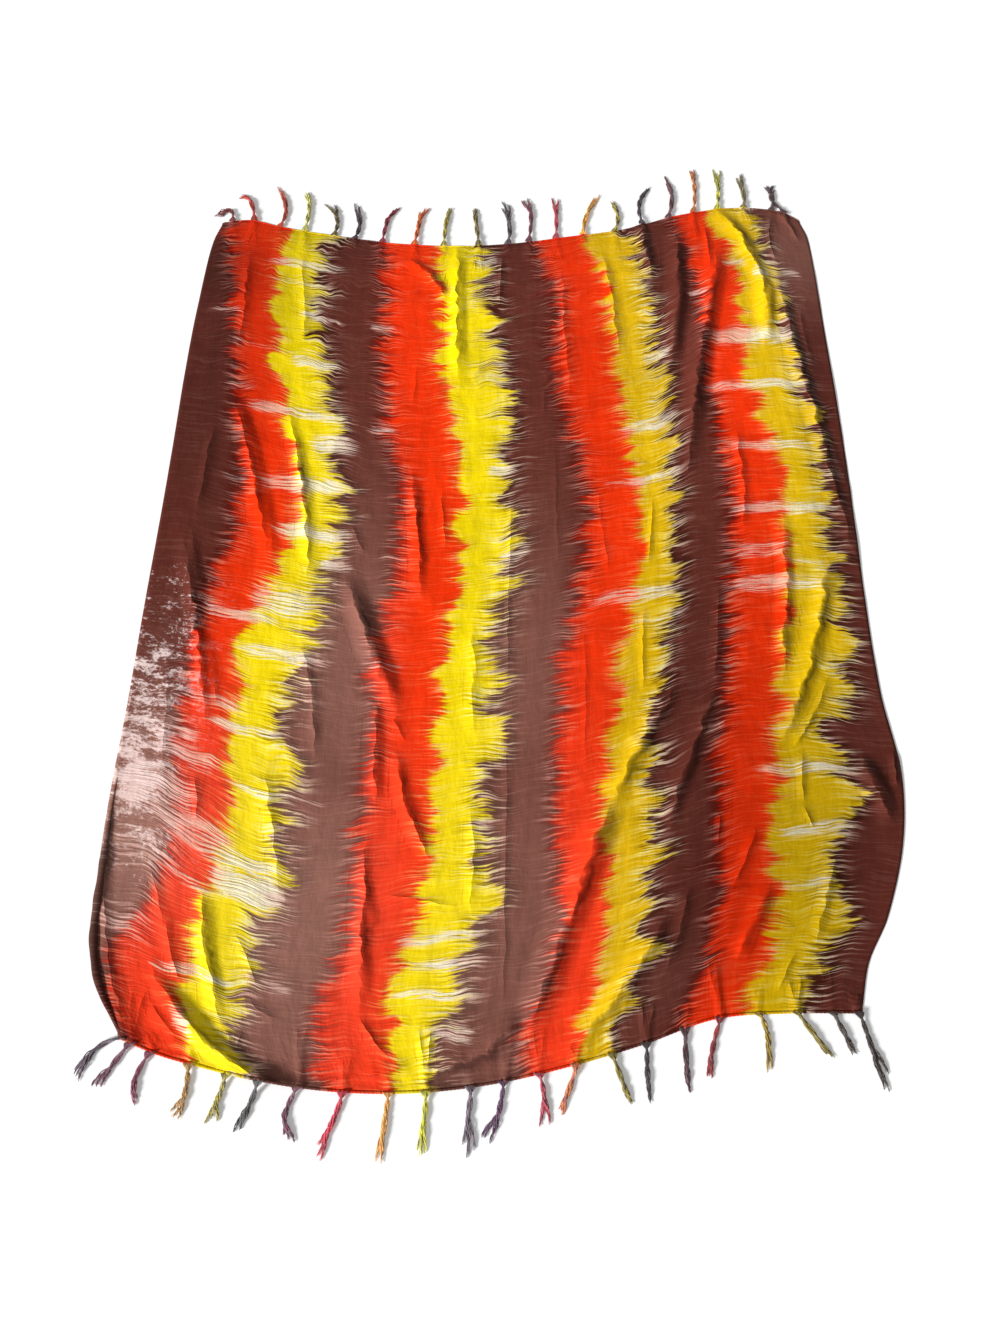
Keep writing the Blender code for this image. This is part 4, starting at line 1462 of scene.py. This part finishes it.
    def build(self, material: bpy.types.Material) -> bpy.types.Object:
        """Build all the tassels of this end as one piece."""
        along, away = self.end.value
        paths, colours = [], []
        for tassel in self.tassels:
            across = OUTLINE.across_at(tassel.across * MM, along)
            start = OUTLINE.place(np.array([across]), np.array([along]))[0]
            raised = float(RELIEF.lie(start[None, :]).lift[0])
            start = start + OUTLINE.shift() + np.array([0, away * self.past_edge])
            style = self.style()
            for index in range(self.yarns):
                paths.append(self.yarn(tassel, style, start, raised, index))
                colours.append(self.colour(tassel, index))
        side = self.end.name.lower()
        name = f"{side}_tassels"
        mesh = bend_rods(name, self.sides, *(np.array(part) for part in zip(*paths)))
        layer = mesh.attributes.new("yarn_colour", "FLOAT_COLOR", "POINT")
        points = len(mesh.vertices) // len(colours)
        layer.data.foreach_set("color", np.repeat(np.array(colours), points, axis=0).ravel())
        return finish_piece(name, mesh, material, f"{side}_fringe")


@dataclass
class Hem:
    """The rolled edge of one end, which the tassels are knotted into."""

    end: EndSide
    rings: int = 520
    sides: int = 6
    half_width: float = 1.9 * MM
    half_height: float = 1.0 * MM
    out: float = 2.9 * MM
    clearance: float = 0.25 * MM
    ripple: float = 0.25 * MM
    ripples: float = 2100.0

    def build(self, material: bpy.types.Material) -> bpy.types.Object:
        """Build the hem along the cloth's edge, rising with its folds."""
        along, away = self.end.value
        across = np.linspace(0.002, 0.998, self.rings)
        place = OUTLINE.place(across, np.full(self.rings, along))
        height = RELIEF.lie(place).lift + self.half_height + self.clearance
        place = place + OUTLINE.shift() + np.array([0, away * self.out])
        ripple = self.ripple * np.sin(across * self.ripples)
        centres = np.stack([place[:, 0], place[:, 1] + ripple, height], axis=1)[None]
        sideways = np.tile([0.0, self.half_width * away, 0.0], (1, self.rings, 1))
        upright = np.tile([0.0, 0.0, self.half_height], (1, self.rings, 1))
        side = self.end.name.lower()
        name = f"{side}_hem"
        mesh = bend_rods(name, self.sides, centres, sideways, upright)
        shares = (points_of(mesh)[:, 0] - place[0, 0]) / (place[-1, 0] - place[0, 0])
        dress_cloth(mesh, shares, np.full(len(shares), along))
        return finish_piece(name, mesh, material, f"{side}_fringe")


@dataclass
class RolledSelvage:
    """The stretch of the left selvage, near the near end, that has rolled up on itself."""

    start: float = 0.004
    end: float = 0.235
    rings: int = 140
    sides: int = 8
    inset: float = 0.0055
    radius: float = 5.0 * MM
    flatness: float = 0.6
    clearance: float = 0.8 * MM
    near_taper: float = 0.12
    far_taper: float = 0.45
    thinnest: float = 0.15
    unevenness: float = 0.12
    swellings: float = 41.0
    dye_across: float = 0.004
    shade: float = 0.62

    def build(self, material: bpy.types.Material) -> bpy.types.Object:
        """Build the roll along the cloth's edge, thinning out at both ends."""
        along = np.linspace(self.start, self.end, self.rings)
        place = OUTLINE.place(np.full(self.rings, self.inset), along)
        lift = RELIEF.lie(place).lift
        share = np.linspace(0, 1, self.rings)
        ends = smooth_step(share / self.near_taper) * smooth_step((1 - share) / self.far_taper)
        radius = self.radius * (self.thinnest + (1 - self.thinnest) * ends)
        radius = radius * (1 + self.unevenness * np.sin(share * self.swellings))
        place = place + OUTLINE.shift()
        height = lift + self.clearance + radius * self.flatness * 0.8
        centres = np.stack([place[:, 0], place[:, 1], height], axis=1)[None]
        sideways = np.stack([radius, 0 * radius, 0 * radius], axis=1)[None]
        upright = np.stack([0 * radius, 0 * radius, radius * self.flatness], axis=1)[None]
        name = "rolled_selvage"
        mesh = bend_rods(name, self.sides, centres, sideways, upright)
        shares = np.interp(points_of(mesh)[:, 1], place[:, 1], along)
        dress_cloth(mesh, np.full(len(shares), self.dye_across), shares, self.shade)
        return finish_piece(name, mesh, material, "woven_panel")


@dataclass
class Studio:
    """The pale floor, the soft lights and the camera past the shawl's near end."""

    floor_size: float = 12.0
    floor_glow: float = 0.14
    sky_strength: float = 0.32
    camera_height: float = 1.346
    camera_tilt: float = math.radians(26.5)
    camera_back: float = 0.154
    camera_left: float = 0.016
    lens: float = 27.0
    sun_strength: float = 4.8
    sun_softness: float = math.radians(15.0)
    sun_from: tuple[float, float, float] = (-0.80, -0.55, 0.50)

    def add_item(self, name: str, data: bpy.types.ID) -> bpy.types.Object:
        """Put one item of the studio into the scene."""
        item = bpy.data.objects.new(name, data)
        bpy.context.scene.collection.objects.link(item)
        return item

    def floor(self) -> None:
        """Lay the pale floor."""
        build = bmesh.new()
        bmesh.ops.create_grid(build, x_segments=1, y_segments=1, size=self.floor_size / 2)
        mesh = bpy.data.meshes.new("floor")
        build.to_mesh(mesh)
        build.free()
        made = bpy.data.materials.new("Matt_white_paper")
        made.use_nodes = True
        inputs = {"Base Color": linear("#f4f4f4"), "Roughness": 0.9}
        inputs.update({"Emission Color": linear("#ffffff"), "Emission Strength": self.floor_glow})
        fill(made.node_tree, made.node_tree.nodes["Principled BSDF"], inputs)
        mesh.materials.append(made)
        self.add_item("floor", mesh)

    def sun(self) -> None:
        """Add low, soft light from the near left, which brings out the folds."""
        data = bpy.data.lights.new("window", "SUN")
        data.energy, data.angle = self.sun_strength, self.sun_softness
        towards = Vector(self.sun_from).to_track_quat("Z", "Y")
        self.add_item("window", data).rotation_euler = towards.to_euler()

    def sky(self) -> None:
        """Add even light from all round."""
        world = bpy.data.worlds.new("soft_daylight")
        world.use_nodes = True
        inputs = {"Color": linear("#ffffff"), "Strength": self.sky_strength}
        fill(world.node_tree, world.node_tree.nodes["Background"], inputs)
        bpy.context.scene.world = world

    def camera(self) -> None:
        """Set up the camera at the photograph's viewing angle."""
        data = bpy.data.cameras.new("camera")
        data.lens = self.lens
        x, y = OUTLINE.shift() - np.array([self.camera_left, self.camera_back])
        item = self.add_item("camera", data)
        item.location = (x, y, self.camera_height)
        item.rotation_euler = (self.camera_tilt, 0, 0)
        bpy.context.scene.camera = item

    def build(self) -> None:
        """Build the whole studio."""
        self.floor()
        self.sun()
        self.sky()
        self.camera()
        bpy.context.scene.view_settings.view_transform = "Standard"


def main() -> None:
    """Build the shawl's pieces in order, then the studio round them."""
    cloth_material = RayonCloth().material()
    yarn_material = FringeYarn().material()
    cloth = WovenPanel().build(cloth_material)
    trim = [RolledSelvage().build(cloth_material)]
    for end, tassels, bulk in ((EndSide.FAR, FAR_TASSELS, 1.3), (EndSide.NEAR, NEAR_TASSELS, 1.0)):
        trim.append(Hem(end).build(cloth_material))
        trim.append(Fringe(end, tassels, bulk).build(yarn_material))
    Studio().build()


if __name__ == "__main__":
    main()
